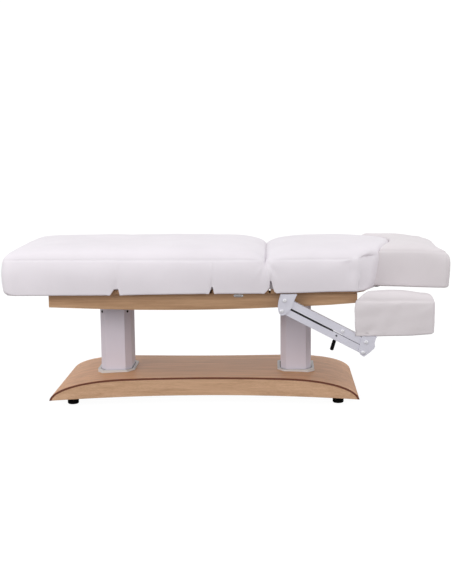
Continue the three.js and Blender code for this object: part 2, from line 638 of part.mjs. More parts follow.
// ---------------------------------------------------------------- linear actuators
// pivot px on the frame, tip at the lug; s runs from the pivot towards the tip
function actuator(name, px, tip, y, spec) {
  const a = (Math.atan2(tip[1] - ACT_Z, tip[0] - px) * 180) / Math.PI;
  const len = Math.hypot(tip[0] - px, tip[1] - ACT_Z);
  const back = Math.abs(a) > 90;
  const at = (points) => turned(back ? points.map(([s, o]) => [s, -o]) : points, px, ACT_Z, a);
  const cheeks = (s0, s1, p, r) =>
    [1, -1].map((k) => {
      const ya = k > 0 ? y + 3.6 : y - 9.6;
      return cut(prismXZ(at(rect(s0, s1, -12.5, 12.5)), ya, ya + 6), ...(r ? [rodY(p[0], p[1], r, y - 15, y + 15)] : []));
    });
  place(
    name + "_housing",
    cut(
      union(
        prismXZ(at([[16, 17], [16, -29], [spec.box, -29], [spec.box, 17]]), y - 27, y + 27),
        rodAlong(px, ACT_Z, a, y, 19, spec.box - 5, spec.tube),
        ...cheeks(-12.5, 20, null, 0),
        rodY(px, ACT_Z, 5.7, y - 9.6, y + 9.6),
      ),
      rodAlong(px, ACT_Z, a, y, 12, spec.bore, spec.tube + 5),
    ),
    M.plastic,
  );
  const tipPoint = turned([[len, 0]], px, ACT_Z, a)[0];
  place(
    name + "_rod",
    union(
      rodAlong(px, ACT_Z, a, y, 9.5, spec.rod, len - 40),
      prismXZ(at(rect(len - 46, len - 30, -12.5, 12.5)), y - 9.6, y + 9.6),
      ...cheeks(len - 34, len + 12, tipPoint, 6.4),
    ),
    M.bright,
  );
}
actuator("back_actuator", BACK_PIVOT, [BACK_X - 75, HINGE_Z - 80], ACT_Y, { box: 130, tube: 330, bore: 150, rod: 168 });
actuator("leg_actuator", LEG_PIVOT, [THIGH_X + 75, HINGE_Z - 80], -ACT_Y, { box: 100, tube: 135, bore: 55, rod: 62 });

export default group;
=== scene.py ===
import bpy, math
import numpy as np
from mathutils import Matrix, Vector


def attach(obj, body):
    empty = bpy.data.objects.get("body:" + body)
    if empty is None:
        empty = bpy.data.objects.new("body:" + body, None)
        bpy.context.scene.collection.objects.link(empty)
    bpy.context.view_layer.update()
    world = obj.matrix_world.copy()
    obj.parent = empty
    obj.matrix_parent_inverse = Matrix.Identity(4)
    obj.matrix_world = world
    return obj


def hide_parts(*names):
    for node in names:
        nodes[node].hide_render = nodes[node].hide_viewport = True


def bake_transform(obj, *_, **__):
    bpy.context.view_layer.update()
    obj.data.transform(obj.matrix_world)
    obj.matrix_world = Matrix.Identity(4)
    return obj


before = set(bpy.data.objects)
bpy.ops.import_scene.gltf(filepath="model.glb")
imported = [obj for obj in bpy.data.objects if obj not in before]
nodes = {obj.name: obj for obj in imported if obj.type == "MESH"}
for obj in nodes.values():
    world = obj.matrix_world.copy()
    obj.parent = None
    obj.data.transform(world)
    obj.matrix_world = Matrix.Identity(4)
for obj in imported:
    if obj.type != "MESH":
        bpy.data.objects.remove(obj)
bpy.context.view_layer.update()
sc = bpy.context.scene
coll = sc.collection
MID = 115.6  # drawing X of the middle of the length; drawings below are in mm from the middle of the base


def row(p):
    """drawing millimetres to the row frame's metres"""
    out = np.array(p, float)
    out[..., 0] -= MID
    return out / 1000.0


# ------------------------------------------------------------------ camera, light and floor
cam_data = bpy.data.cameras.new("camera")
cam = bpy.data.objects.new("camera", cam_data)
coll.objects.link(cam)
cam_data.sensor_width = 36.0
cam_data.lens = 1106.6 / 584.0 * 36.0
cam_data.shift_x = -46.43 / 584.0
cam_data.clip_end = 200.0
cam.location = (0.1967, -5.1743, 1.2635)
cam.rotation_euler = (math.radians(90.0 - 8.6), math.radians(0.254), 0.0)
sc.camera = cam
sc.view_settings.view_transform = "Standard"
sc.view_settings.look = "None"

world = bpy.data.worlds.new("studio")
sc.world = world
world.use_nodes = True
wnt = world.node_tree
bg = wnt.nodes["Background"]
bg.inputs["Color"].default_value = (1.0, 0.995, 1.0, 1.0)
bg.inputs["Strength"].default_value = 0.92
backdrop = wnt.nodes.new("ShaderNodeBackground")  # the paper behind the bed, seen plain white
backdrop.inputs["Color"].default_value = (1, 1, 1, 1)
backdrop.inputs["Strength"].default_value = 1.05
seen = wnt.nodes.new("ShaderNodeLightPath")
choose = wnt.nodes.new("ShaderNodeMixShader")
wnt.links.new(seen.outputs["Is Camera Ray"], choose.inputs[0])
wnt.links.new(bg.outputs[0], choose.inputs[1])
wnt.links.new(backdrop.outputs[0], choose.inputs[2])
wnt.links.new(choose.outputs[0], wnt.nodes["World Output"].inputs["Surface"])


def area(name, at, aim, size, power, size_y=None, colour=(1, 1, 1)):
    d = bpy.data.lights.new(name, "AREA")
    d.energy = power
    d.color = colour
    d.shape = "RECTANGLE"
    d.size = size
    d.size_y = size_y or size
    o = bpy.data.objects.new(name, d)
    coll.objects.link(o)
    o.location = at
    o.rotation_euler = (Vector(aim) - Vector(at)).to_track_quat("-Z", "Y").to_euler()
    return o


area("left_softbox", (-2.9, -2.9, 1.5), (-0.2, -0.3, 0.45), 2.0, 37, 1.4)
area("front_softbox", (-0.3, -3.6, 3.1), (0.0, -0.3, 0.55), 3.4, 2, 1.5)
area("right_softbox", (3.0, -3.2, 1.3), (0.4, -0.3, 0.4), 1.8, 13.5, 1.4)
area("edge_softbox", (3.0, -0.85, 1.15), (0.55, -0.33, 0.6), 0.9, 3.5, 0.9)
area("top_softbox", (-0.9, -0.1, 3.0), (-0.8, 0.0, 0.7), 2.2, 3.0, 1.2)

floor = bpy.data.meshes.new("floor")
floor.from_pydata([(-60, -40, 0), (60, -40, 0), (60, 80, 0), (-60, 80, 0)], [], [(0, 1, 2, 3)])
floor_ob = bpy.data.objects.new("floor", floor)
coll.objects.link(floor_ob)


# ------------------------------------------------------------------ materials
def new_material(name):
    m = bpy.data.materials.new(name)
    m.use_nodes = True
    nt = m.node_tree
    nt.nodes.clear()
    out = nt.nodes.new("ShaderNodeOutputMaterial")
    bsdf = nt.nodes.new("ShaderNodeBsdfPrincipled")
    nt.links.new(bsdf.outputs[0], out.inputs[0])
    return m, nt, bsdf


class Graph:
    """short hand for one material's nodes"""

    def __init__(self, nt):
        self.nt = nt

    def add(self, kind, **values):
        n = self.nt.nodes.new(kind)
        for k, v in values.items():
            setattr(n, k, v)
        return n

    def link(self, a, b):
        self.nt.links.new(a, b)

    def coords(self, scale=(1, 1, 1), rot=(0, 0, 0)):
        tc = self.add("ShaderNodeTexCoord")
        mp = self.add("ShaderNodeMapping")
        mp.inputs["Scale"].default_value = scale
        mp.inputs["Rotation"].default_value = rot
        self.link(tc.outputs["Object"], mp.inputs["Vector"])
        return mp.outputs["Vector"]

    def noise(self, vec, scale, detail=3.0, rough=0.55, distortion=0.0):
        n = self.add("ShaderNodeTexNoise")
        n.inputs["Scale"].default_value = scale
        n.inputs["Detail"].default_value = detail
        n.inputs["Roughness"].default_value = rough
        n.inputs["Distortion"].default_value = distortion
        self.link(vec, n.inputs["Vector"])
        return n.outputs["Fac"]

    def ramp(self, fac, stops):
        n = self.add("ShaderNodeValToRGB")
        e = n.color_ramp.elements
        while len(e) < len(stops):
            e.new(0.5)
        for el, (pos, c) in zip(e, stops):
            el.position = pos
            el.color = (*c, 1.0)
        self.link(fac, n.inputs["Fac"])
        return n.outputs["Color"]

    def span(self, fac, a, b, c, d):
        n = self.add("ShaderNodeMapRange")
        n.inputs["From Min"].default_value = a
        n.inputs["From Max"].default_value = b
        n.inputs["To Min"].default_value = c
        n.inputs["To Max"].default_value = d
        self.link(fac, n.inputs["Value"])
        return n.outputs["Result"]

    def math(self, op, a, b=None):
        n = self.add("ShaderNodeMath", operation=op)
        for i, v in enumerate((a, b)):
            if v is None:
                continue
            if isinstance(v, (int, float)):
                n.inputs[i].default_value = v
            else:
                self.link(v, n.inputs[i])
        return n.outputs[0]

    def mix(self, fac, a, b, mode="MIX"):
        n = self.add("ShaderNodeMix", data_type="RGBA", blend_type=mode)
        for key, v in (("Factor", fac), ("A", a), ("B", b)):
            sock = next(s for s in n.inputs if s.name == key and s.enabled)
            if isinstance(v, (int, float)):
                sock.default_value = v
            elif isinstance(v, tuple):
                sock.default_value = (*v, 1.0)
            else:
                self.link(v, sock)
        return next(s for s in n.outputs if s.enabled)

    def bump(self, height, strength, distance, normal=None):
        n = self.add("ShaderNodeBump")
        n.inputs["Strength"].default_value = strength
        n.inputs["Distance"].default_value = distance
        self.link(height, n.inputs["Height"])
        if normal is not None:
            self.link(normal, n.inputs["Normal"])
        return n.outputs["Normal"]


def hide_material(name="white_leatherette", tint=(0.825, 0.785, 0.83)):
    m, nt, b = new_material(name)
    g = Graph(nt)
    vec = g.coords()
    cloud = g.noise(vec, 5.0, 3.0, 0.5)
    low = tuple(c * 0.965 for c in tint)
    high = tuple(min(1.0, c * 1.02) for c in tint)
    col = g.ramp(cloud, [(0.3, low), (0.7, high)])
    g.link(col, b.inputs["Base Color"])
    pores = g.add("ShaderNodeTexVoronoi", feature="F1")
    pores.inputs["Scale"].default_value = 620.0
    g.link(vec, pores.inputs["Vector"])
    pebble = g.add("ShaderNodeTexVoronoi", feature="DISTANCE_TO_EDGE")
    pebble.inputs["Scale"].default_value = 380.0
    g.link(vec, pebble.inputs["Vector"])
    fine = g.noise(vec, 900.0, 2.0)
    h = g.math("ADD", g.span(pebble.outputs["Distance"], 0.0, 0.25, 0.0, 1.0), g.math("MULTIPLY", fine, 0.5))
    n1 = g.bump(h, 0.16, 0.0004)
    soft = g.noise(vec, 14.0, 2.0, 0.4)
    n2 = g.bump(soft, 0.12, 0.006, n1)
    g.link(n2, b.inputs["Normal"])
    rough = g.span(g.noise(vec, 9.0, 4.0), 0.3, 0.7, 0.44, 0.54)
    g.link(rough, b.inputs["Roughness"])
    b.inputs["Specular IOR Level"].default_value = 0.42
    b.inputs["Sheen Weight"].default_value = 0.06
    b.inputs["Sheen Roughness"].default_value = 0.5
    return m


def wood_material(name, light, dark, edge=None, pores=0.5, rough=0.46):
    m, nt, b = new_material(name)
    g = Graph(nt)
    broad = g.noise(g.coords((0.9, 9.0, 9.0)), 3.0, 4.0, 0.55, 0.6)
    bands = g.noise(g.coords((1.6, 60.0, 60.0)), 2.2, 5.0, 0.6, 0.35)
    fibre = g.noise(g.coords((9.0, 520.0, 520.0)), 1.6, 4.0, 0.62)
    col = g.ramp(g.math("ADD", g.math("MULTIPLY", broad, 0.45), g.math("MULTIPLY", bands, 0.55)), [(0.36, dark), (0.62, light)])
    streak = g.ramp(fibre, [(0.36, (0.70, 0.66, 0.62)), (0.56, (1.0, 1.0, 1.0))])
    col = g.mix(pores, col, streak, "MULTIPLY")
    ray = g.noise(g.coords((26.0, 260.0, 150.0)), 1.0, 2.0, 0.5)
    flecks = g.ramp(ray, [(0.62, (1, 1, 1)), (0.74, (0.80, 0.76, 0.72))])
    col = g.mix(0.35, col, flecks, "MULTIPLY")
    if edge is not None:
        geo = g.add("ShaderNodeNewGeometry")
        sep = g.add("ShaderNodeSeparateXYZ")
        g.link(geo.outputs["Normal"], sep.inputs[0])
        side = g.span(g.math("ABSOLUTE", sep.outputs["Y"]), 0.55, 0.8, 0.0, 1.0)
        col = g.mix(side, col, edge)
    g.link(col, b.inputs["Base Color"])
    g.link(g.bump(fibre, 0.10, 0.0006), b.inputs["Normal"])
    g.link(g.span(fibre, 0.3, 0.7, rough - 0.05, rough + 0.08), b.inputs["Roughness"])
    b.inputs["Specular IOR Level"].default_value = 0.4
    b.inputs["Coat Weight"].default_value = 0.12
    b.inputs["Coat Roughness"].default_value = 0.32
    return m


def paint_material(name, colour, rough=0.42, metal=0.0, peel=0.05, grime=0.03):
    m, nt, b = new_material(name)
    g = Graph(nt)
    vec = g.coords()
    wear = g.noise(vec, 7.0, 5.0, 0.6)
    low = tuple(c * (1 - grime * 2.4) for c in colour)
    g.link(g.ramp(wear, [(0.32, low), (0.6, colour)]), b.inputs["Base Color"])
    peel_h = g.noise(vec, 520.0, 2.0, 0.5)
    g.link(g.bump(peel_h, peel, 0.0005), b.inputs["Normal"])
    g.link(g.span(g.noise(vec, 30.0, 3.0), 0.3, 0.7, rough - 0.05, rough + 0.07), b.inputs["Roughness"])
    b.inputs["Metallic"].default_value = metal
    b.inputs["Specular IOR Level"].default_value = 0.5
    return m


def steel_material(name, colour=(0.60, 0.61, 0.62), rough=0.26, along=(6.0, 260.0, 260.0)):
    m, nt, b = new_material(name)
    g = Graph(nt)
    scratch = g.noise(g.coords(along), 2.0, 4.0, 0.6)
    g.link(g.ramp(scratch, [(0.35, tuple(c * 0.86 for c in colour)), (0.65, colour)]), b.inputs["Base Color"])
    g.link(g.span(scratch, 0.3, 0.7, rough - 0.06, rough + 0.1), b.inputs["Roughness"])
    g.link(g.bump(scratch, 0.06, 0.0003), b.inputs["Normal"])
    b.inputs["Metallic"].default_value = 1.0
    return m


def rubber_material(name, colour=(0.0035, 0.0033, 0.0032), rough=0.7):
    m, nt, b = new_material(name)
    g = Graph(nt)
    vec = g.coords()
    dust = g.noise(vec, 40.0, 5.0, 0.65)
    g.link(g.ramp(dust, [(0.35, colour), (0.75, tuple(c * 1.8 + 0.0008 for c in colour))]), b.inputs["Base Color"])
    b.inputs["Specular IOR Level"].default_value = 0.1
    g.link(g.bump(g.noise(vec, 1400.0, 2.0), 0.2, 0.0004), b.inputs["Normal"])
    g.link(g.span(dust, 0.3, 0.7, rough - 0.08, rough + 0.1), b.inputs["Roughness"])
    return m


M = {
    "hide": hide_material(),
    # a darker copy of the white leatherette for the head and armrest pads: painted shade, standing for the dimmer light
    # on these recessed pads
    "hide_warm": hide_material("white_leatherette_painted_shade", (0.768, 0.722, 0.743)),
    "stitch": paint_material("white_thread", (0.70, 0.68, 0.70), 0.7, peel=0.2),
    "oak_top": wood_material("base_cover_veneer", (0.84, 0.44, 0.207), (0.60, 0.288, 0.128), edge=(0.16, 0.05, 0.026)),
    "oak_side": wood_material("base_side_veneer", (0.745, 0.475, 0.30), (0.575, 0.348, 0.203)),
    "oak_apron": wood_material("apron_veneer", (0.60, 0.372, 0.214), (0.425, 0.244, 0.130)),
    "ply": wood_material("plywood", (0.46, 0.27, 0.15), (0.33, 0.18, 0.092), pores=0.7, rough=0.6),
    "column": paint_material("column_paint", (0.755, 0.705, 0.785), 0.36, grime=0.008),
    "collar": paint_material("collar_moulding", (0.69, 0.675, 0.665), 0.45, grime=0.01),
    "arm": paint_material("arm_paint", (0.72, 0.715, 0.795), 0.36),
    "frame": paint_material("frame_paint", (0.10, 0.10, 0.11), 0.5, peel=0.12, grime=0.08),
    "bright": steel_material("ground_steel", along=(260.0, 260.0, 6.0)),
    "rod": steel_material("rod_steel", rough=0.2),
    "chrome": steel_material("chrome", (0.86, 0.86, 0.88), 0.2),
    "zinc": paint_material("zinc_plate", (0.86, 0.86, 0.90), 0.34, metal=0.25, grime=0.02),
    "rubber": rubber_material("black_rubber"),
    "button": paint_material("screw_black", (0.006, 0.006, 0.006), 0.55, peel=0.1, grime=0.1),
    "plastic": paint_material("black_plastic", (0.03, 0.03, 0.034), 0.5, peel=0.3, grime=0.1),
    "floor": paint_material("studio_floor", (0.275, 0.26, 0.255), 0.75, peel=0.0, grime=0.0),
}
b = next(n for n in M["floor"].node_tree.nodes if n.type == "BSDF_PRINCIPLED")
b.inputs["Specular IOR Level"].default_value = 0.1
fnt = M["floor"].node_tree
seen_floor = fnt.nodes.new("ShaderNodeLightPath")
white = fnt.nodes.new("ShaderNodeEmission")  # the paper sweep, burnt out to plain white as it is seen
white.inputs["Strength"].default_value = 0.97
either = fnt.nodes.new("ShaderNodeMixShader")
shade = fnt.nodes.new("ShaderNodeAddShader")
fnt.links.new(seen_floor.outputs["Is Camera Ray"], either.inputs[0])
fnt.links.new(b.outputs[0], either.inputs[1])
fnt.links.new(white.outputs[0], shade.inputs[0])
faint = fnt.nodes.new("ShaderNodeBsdfDiffuse")
faint.inputs["Color"].default_value = (0.09, 0.09, 0.09, 1)
fnt.links.new(faint.outputs[0], shade.inputs[1])
fnt.links.new(shade.outputs[0], either.inputs[2])
fnt.links.new(either.outputs[0], next(n for n in fnt.nodes if n.type == "OUTPUT_MATERIAL").inputs["Surface"])
floor.materials.append(M["floor"])

LOOK = {
    "base_top_panel": "oak_top", "base_side_board_near": "oak_side", "base_side_board_far": "oak_side",
    "apron_near": "oak_apron", "apron_far": "oak_apron", "apron_foot_end": "oak_apron", "apron_head_end": "oak_apron",
    "calf_board": "ply", "thigh_board": "ply", "seat_board": "ply", "back_board": "ply", "head_board": "ply",
    "column_sleeve_foot": "column", "column_sleeve_head": "column",
    "column_collar_foot": "collar", "column_collar_head": "collar",
    "column_inner_tube_foot": "bright", "column_inner_tube_head": "bright",
    "lift_spindle_foot": "bright", "lift_spindle_head": "bright",
    "power_inlet": "plastic", "control_box": "plastic",
    "back_actuator_housing": "plastic", "leg_actuator_housing": "plastic",
    "back_actuator_rod": "rod", "leg_actuator_rod": "rod",
}
for name, ob in nodes.items():
    key = LOOK.get(name)
    if key is None:
        if name.startswith("rubber_foot"):
            key = "rubber"
        elif name.startswith("arm_release_lever"):
            key = "rubber"
        elif name.startswith("arm_") and "cushion" not in name:
            key = "arm"
        elif name.endswith(("cushion", "wedge")) or "cushion" in name:
            key = "hide"
        else:
            key = "frame"
    ob.data.materials.clear()
    ob.data.materials.append(M[key])
    if key != "hide":
        weld = ob.modifiers.new("weld", "WELD")
        weld.merge_threshold = 0.00002
        bev = ob.modifiers.new("bevel", "BEVEL")
        bev.width = {"column": 0.0016, "oak_side": 0.0012, "oak_apron": 0.0012, "oak_top": 0.0010, "collar": 0.0012}.get(key, 0.0006)
        bev.segments = 2
        bev.limit_method = "ANGLE"
        bev.angle_limit = math.radians(32)
        bev.use_clamp_overlap = True


# ------------------------------------------------------------------ soft pads
def waves(x, y, seed, span=90.0, n=7):
    """smooth fixed noise of about unit height, with features about span mm long"""
    r = np.random.default_rng(seed)
    out = np.zeros(np.broadcast(x, y).shape)
    for _ in range(n):
        a = r.uniform(0, 2 * math.pi)
        k = 2 * math.pi / (span * r.uniform(0.7, 2.4))
        out = out + np.sin(k * (np.cos(a) * x + np.sin(a) * y) + r.uniform(0, 6.283)) * r.uniform(0.5, 1.0)
    return out / math.sqrt(n) / 0.75


def resample(points, params):
    """points along a polyline at the given shares of its length"""
    p = np.asarray(points, float)
    s = np.concatenate([[0], np.cumsum(np.hypot(*np.diff(p, axis=0).T))])
    s /= s[-1]
    return np.stack([np.interp(params, s, p[:, 0]), np.interp(params, s, p[:, 1])], 1)


def arc(cx, cy, r, a0, a1, n=10):
    t = np.radians(np.linspace(a0, a1, n + 1))
    return [(cx + r * math.cos(a), cy + r * math.sin(a)) for a in t]


def coons(N, F, L, R, us, vs):
    u, v = us[:, None, None], vs[None, :, None]
    C = (1 - v) * N[:, None] + v * F[:, None] + (1 - u) * L[None] + u * R[None]
    return C - ((1 - u) * (1 - v) * N[0] + u * (1 - v) * N[-1] + (1 - u) * v * F[0] + u * v * F[-1])


def spread(length, step, ends=(True, True), fine=(3.5, 8.0, 14.0, 21.0)):
    """shares 0..1 at about step mm, closer together near the chosen ends"""
    head = [f for f in fine] if ends[0] else []
    tail = [length - f for f in reversed(fine)] if ends[1] else []
    a, z = (head[-1] if head else 0.0), (tail[0] if tail else length)
    n = max(2, int(round((z - a) / step)))
    mid = np.linspace(a, z, n + 1)
    s = np.concatenate([[0.0] if head else [], head[:-1], mid, tail[1:], [length] if tail else []])
    return s / length


def outline_distance(px, py, loop):
    """distance from each point to a closed polyline"""
    a = np.asarray(loop, float)
    b = np.roll(a, -1, axis=0)
    best = np.full(px.shape, 1e9)
    for (ax, ay), (bx, by) in zip(a, b):
        dx, dy = bx - ax, by - ay
        l2 = dx * dx + dy * dy
        if l2 < 1e-9:
            continue
        t = np.clip(((px - ax) * dx + (py - ay) * dy) / l2, 0, 1)
        best = np.minimum(best, np.hypot(px - ax - t * dx, py - ay - t * dy))
    return best


def make_object(name, verts, faces, flat, body_material=None):
    me = bpy.data.meshes.new(name)
    me.from_pydata([tuple(v) for v in verts], [], faces)
    smooth = np.ones(len(faces), bool)
    smooth[list(flat)] = False
    me.polygons.foreach_set("use_smooth", smooth)
    me.update()
    me.materials.append(body_material or M["hide"])
    ob = bpy.data.objects.new(name, me)
    coll.objects.link(ob)
    return ob


class Pad:
    """A closed upholstered pad: a crowned top over a plan outline, a sewn seam round its edge, a skirt below the
    seam that curls under at the hem, and an underside. Sides named in cuts are closed by flat internal faces."""

    def __init__(self, name, sides, bottom, us, vs, top, seam, hem, curl, under, inset, offset, cuts=(), warp=None, sewn=None):
        self.name = name
        nu, nv = len(us), len(vs)
        N, R, F, L = (np.asarray(sides[k], float) for k in ("near", "right", "far", "left"))
        P = coons(N, F, L, R, us, vs)
        Nb, Rb, Fb, Lb = (np.asarray(bottom[k], float) for k in ("near", "right", "far", "left"))
        ring = [(i, 0) for i in range(nu)] + [(nu - 1, j) for j in range(1, nv)]
        ring += [(i, nv - 1) for i in range(nu - 2, -1, -1)] + [(0, j) for j in range(nv - 2, 0, -1)]
        n = len(ring)
        edge_side = []
        for k in range(n):
            (i, j), (i2, j2) = ring[k], ring[(k + 1) % n]
            edge_side.append("near" if j == j2 == 0 else "far" if j == j2 == nv - 1 else "right" if i == i2 == nu - 1 else "left")
        top_pt = np.array([P[i, j] for i, j in ring])
        bot_pt = np.array([(Nb[i] if j == 0 else Fb[i] if j == nv - 1 else Rb[j] if i == nu - 1 else Lb[j]) for i, j in ring])
        live = np.array([s not in cuts for s in edge_side])
        used = live | np.roll(live, 1)
        normal = np.zeros((n, 2))
        for k in range(n):
            t = np.zeros(2)
            for q, ok in ((k, live[k]), ((k - 1) % n, live[(k - 1) % n])):
                if ok:
                    d = top_pt[(q + 1) % n] - top_pt[q]
                    t += d / (np.hypot(*d) + 1e-9)
            if used[k]:
                t /= np.hypot(*t) + 1e-9
                normal[k] = (t[1], -t[0])
        zs = seam(top_pt[:, 0], top_pt[:, 1])
        zh = hem(bot_pt[:, 0], bot_pt[:, 1])
        rad = curl(bot_pt[:, 0], bot_pt[:, 1])
        ins = inset(bot_pt[:, 0], bot_pt[:, 1])
        # ---- top: its height is taken at the plan point, then the whole sheet is drawn in towards the seam
        gz = top(P[..., 0], P[..., 1])
        at = {rc: k for k, rc in enumerate(ring)}
        draw = np.zeros((n, 2))
        for k, (i, j) in enumerate(ring):
            if used[k]:
                gz[i, j] = zs[k]
                draw[k] = normal[k] * offset(np.array([0.0]), top_pt[k, 0], top_pt[k, 1], zs[k], np.array([zs[k]]))[0]
        dn, df = np.array([draw[at[(i, 0)]] for i in range(nu)]), np.array([draw[at[(i, nv - 1)]] for i in range(nu)])
        dl, dr = np.array([draw[at[(0, j)]] for j in range(nv)]), np.array([draw[at[(nu - 1, j)]] for j in range(nv)])
        if "left" in cuts:
            dl = dn[0] + (df[0] - dn[0]) * vs[:, None]
        if "right" in cuts:
            dr = dn[-1] + (df[-1] - dn[-1]) * vs[:, None]
        P = P + coons(dn, df, dl, dr, us, vs)
        if sewn is not None:  # the stitched line itself, pulled in a little more
            for k, (i, j) in enumerate(ring):
                if used[k]:
                    P[i, j] -= normal[k] * sewn(top_pt[k, 0], top_pt[k, 1])
        gx, gy = P[..., 0], P[..., 1]
        verts = [np.stack([gx, gy, gz], -1).reshape(-1, 3)]
        T = np.arange(nu * nv).reshape(nu, nv)
        count = nu * nv
        # ---- skirt rows below the seam
        straight = np.array([0.022, 0.05, 0.09, 0.145, 0.22, 0.30, 0.39, 0.48, 0.57, 0.66, 0.75, 0.83, 0.90, 0.96, 1.0])
        bends = np.radians([18, 36, 54, 72, 90])
        rows = []
        for f in straight:
            z = zs + (zh + rad - zs) * f
            share = (zs - z) / np.maximum(zs - zh, 1e-6)
            plan = top_pt + (bot_pt - top_pt) * share[:, None]
            o = np.array([offset(np.array([f]), plan[k, 0], plan[k, 1], zs[k], np.array([z[k]]))[0] for k in range(n)])
            rows.append((plan, o, z))
        last = rows[-1]
        for a in bends:
            z = zh + rad * (1 - math.sin(a))
            rows.append((bot_pt, last[1] - rad * (1 - math.cos(a)), z))
        zu = np.maximum(under, zh + 3.0)
        rows.append((bot_pt, -ins, zh + 0.0))
        rows.append((bot_pt, -ins - 1.5, zh + 0.35 * (zu - zh)))
        cols = []
        for plan, o, z in rows:
            p = plan + normal * np.asarray(o)[:, None]
            ids = np.full(n, -1)
            ids[used] = count + np.arange(used.sum())
            verts.append(np.stack([p[used, 0], p[used, 1], z[used]], -1))
            count += used.sum()
            cols.append(ids)
        # ---- underside
        inner = bot_pt - normal * (ins + 3.0)[:, None]
        pick = lambda cells: np.array([inner[at[c]] for c in cells])
        Ni, Fi = pick([(i, 0) for i in range(nu)]), pick([(i, nv - 1) for i in range(nu)])
        Li, Ri = pick([(0, j) for j in range(nv)]), pick([(nu - 1, j) for j in range(nv)])
        if "left" in cuts:
            Li = np.stack([np.full(nv, Ni[0, 0]), Ni[0, 1] + (Fi[0, 1] - Ni[0, 1]) * vs], 1)
        if "right" in cuts:
            Ri = np.stack([np.full(nv, Ni[-1, 0]), Ni[-1, 1] + (Fi[-1, 1] - Ni[-1, 1]) * vs], 1)
        U = coons(Ni, Fi, Li, Ri, us, vs)
        uz = np.full((nu, nv), float(under))
        for k, (i, j) in enumerate(ring):
            if used[k]:
                uz[i, j] = zu[k]
        verts.append(np.concatenate([U, uz[..., None]], -1).reshape(-1, 3))
        B = count + np.arange(nu * nv).reshape(nu, nv)
        verts = np.concatenate(verts)
        if warp is not None:
            verts = warp(verts)
        # ---- faces
        faces = []
        for i in range(nu - 1):
            for j in range(nv - 1):
                faces.append((T[i, j], T[i + 1, j], T[i + 1, j + 1], T[i, j + 1]))
                faces.append((B[i, j], B[i, j + 1], B[i + 1, j + 1], B[i + 1, j]))
        for k in range(n):
            if not live[k]:
                continue
            q = (k + 1) % n
            a, b2 = T[ring[k]], T[ring[q]]
            for ids in cols:
                faces.append((a, ids[k], ids[q], b2))
                a, b2 = ids[k], ids[q]
            faces.append((a, B[ring[k]], B[ring[q]], b2))
        flat = []
        if "right" in cuts:
            kf, kn = at[(nu - 1, nv - 1)], at[(nu - 1, 0)]
            loop = [B[nu - 1, j] for j in range(nv)] + [c[kf] for c in reversed(cols)]
            loop += [T[nu - 1, j] for j in range(nv - 1, -1, -1)] + [c[kn] for c in cols]
            flat.append(len(faces))
            faces.append(tuple(loop))
        if "left" in cuts:
            kf, kn = at[(0, nv - 1)], at[(0, 0)]
            loop = [B[0, j] for j in range(nv - 1, -1, -1)] + [c[kn] for c in reversed(cols)]
            loop += [T[0, j] for j in range(nv)] + [c[kf] for c in cols]
            flat.append(len(faces))
            faces.append(tuple(loop))
        self.ob = make_object(name, row(verts), [tuple(int(v) for v in f) for f in faces], flat)


def groove(f, depth=2.4):
    """how far the cloth stands out of the outline at share f of the way down the skirt, in mm"""
    return np.interp(f, [0, 0.022, 0.05, 0.09, 0.15, 0.25, 0.45, 0.7, 0.9, 1.0], [-depth, 0.4, 1.9, 2.7, 3.2, 3.5, 3.1, 2.0, 0.9, 0.4])


def join_normals(pads, planes):
    """one shading normal on both sides of each cut between neighbouring pads, so that the cut doesn't show"""
    data, shared = [], {}
    for p in pads:
        me = p.ob.data
        co = np.empty(len(me.vertices) * 3)
        me.vertices.foreach_get("co", co)
        co = co.reshape(-1, 3)
        quads = np.array([tuple(f.vertices) for f in me.polygons if f.use_smooth])
        c = co[quads]
        face = np.cross(c[:, 2] - c[:, 0], c[:, 3] - c[:, 1])
        face /= np.linalg.norm(face, axis=1)[:, None] + 1e-20
        acc = np.zeros_like(co)
        for k in range(4):
            a, b = c[:, k - 1] - c[:, k], c[:, (k + 1) % 4] - c[:, k]
            cosine = (a * b).sum(1) / (np.linalg.norm(a, axis=1) * np.linalg.norm(b, axis=1) + 1e-20)
            np.add.at(acc, quads[:, k], face * np.arccos(np.clip(cosine, -1, 1))[:, None])
        for x in planes:
            for v in np.nonzero(np.abs(co[:, 0] - (x - MID) / 1000.0) < 2e-5)[0]:
                key = tuple(np.round(co[v] * 20000).astype(int))
                shared[key] = shared.get(key, 0.0) + acc[v]
        data.append((me, co, acc))
    for me, co, acc in data:
        for x in planes:
            for v in np.nonzero(np.abs(co[:, 0] - (x - MID) / 1000.0) < 2e-5)[0]:
                acc[v] = shared[tuple(np.round(co[v] * 20000).astype(int))]
        acc /= np.linalg.norm(acc, axis=1)[:, None] + 1e-20
        out = np.empty((len(me.loops), 3))
        for f in me.polygons:
            for li in f.loop_indices:
                out[li] = acc[me.loops[li].vertex_index] if f.use_smooth else f.normal
        me.normals_split_custom_set([tuple(v) for v in out])


def bolster(f):
    """the mattress's fuller skirt: drawn in at the seam, fullest a third of the way down"""
    return np.interp(f, [0, 0.022, 0.05, 0.09, 0.145, 0.22, 0.30, 0.39, 0.48, 0.57, 0.66, 0.75, 0.83, 0.90, 0.96, 1.0],
                     [-10.0, -7.2, -5.0, -2.9, -0.7, 1.6, 3.1, 4.0, 4.4, 4.4, 4.0, 3.2, 2.3, 1.4, 0.6, 0.2])


# ---- the long mattress: one shape, parted where both sides ride on the same section
HY = 380.0
KNEE, THIGH, BACK = -382.0, 37.0, 297.0
CREASE = 279.0
CUT_A, CUT_B = -170.0, 167.0
# the slots in the skirt: (X, how far the hem is raised there)
NOTCHES = [
    [(-404, 0), (-391, 19), (-386, 27), (-367, 28), (-361, 0)],
    [(30, 0), (38, 18), (40, 30), (48, 30), (53, 0)],
    [(273, 0), (296, 24), (299, 55), (305, 55), (310, 33), (317, 7), (328, 0)],
]
BOW = [(732, -400), (785, -270), (840, -135), (860, 0), (840, 135), (785, 270), (732, 400)]


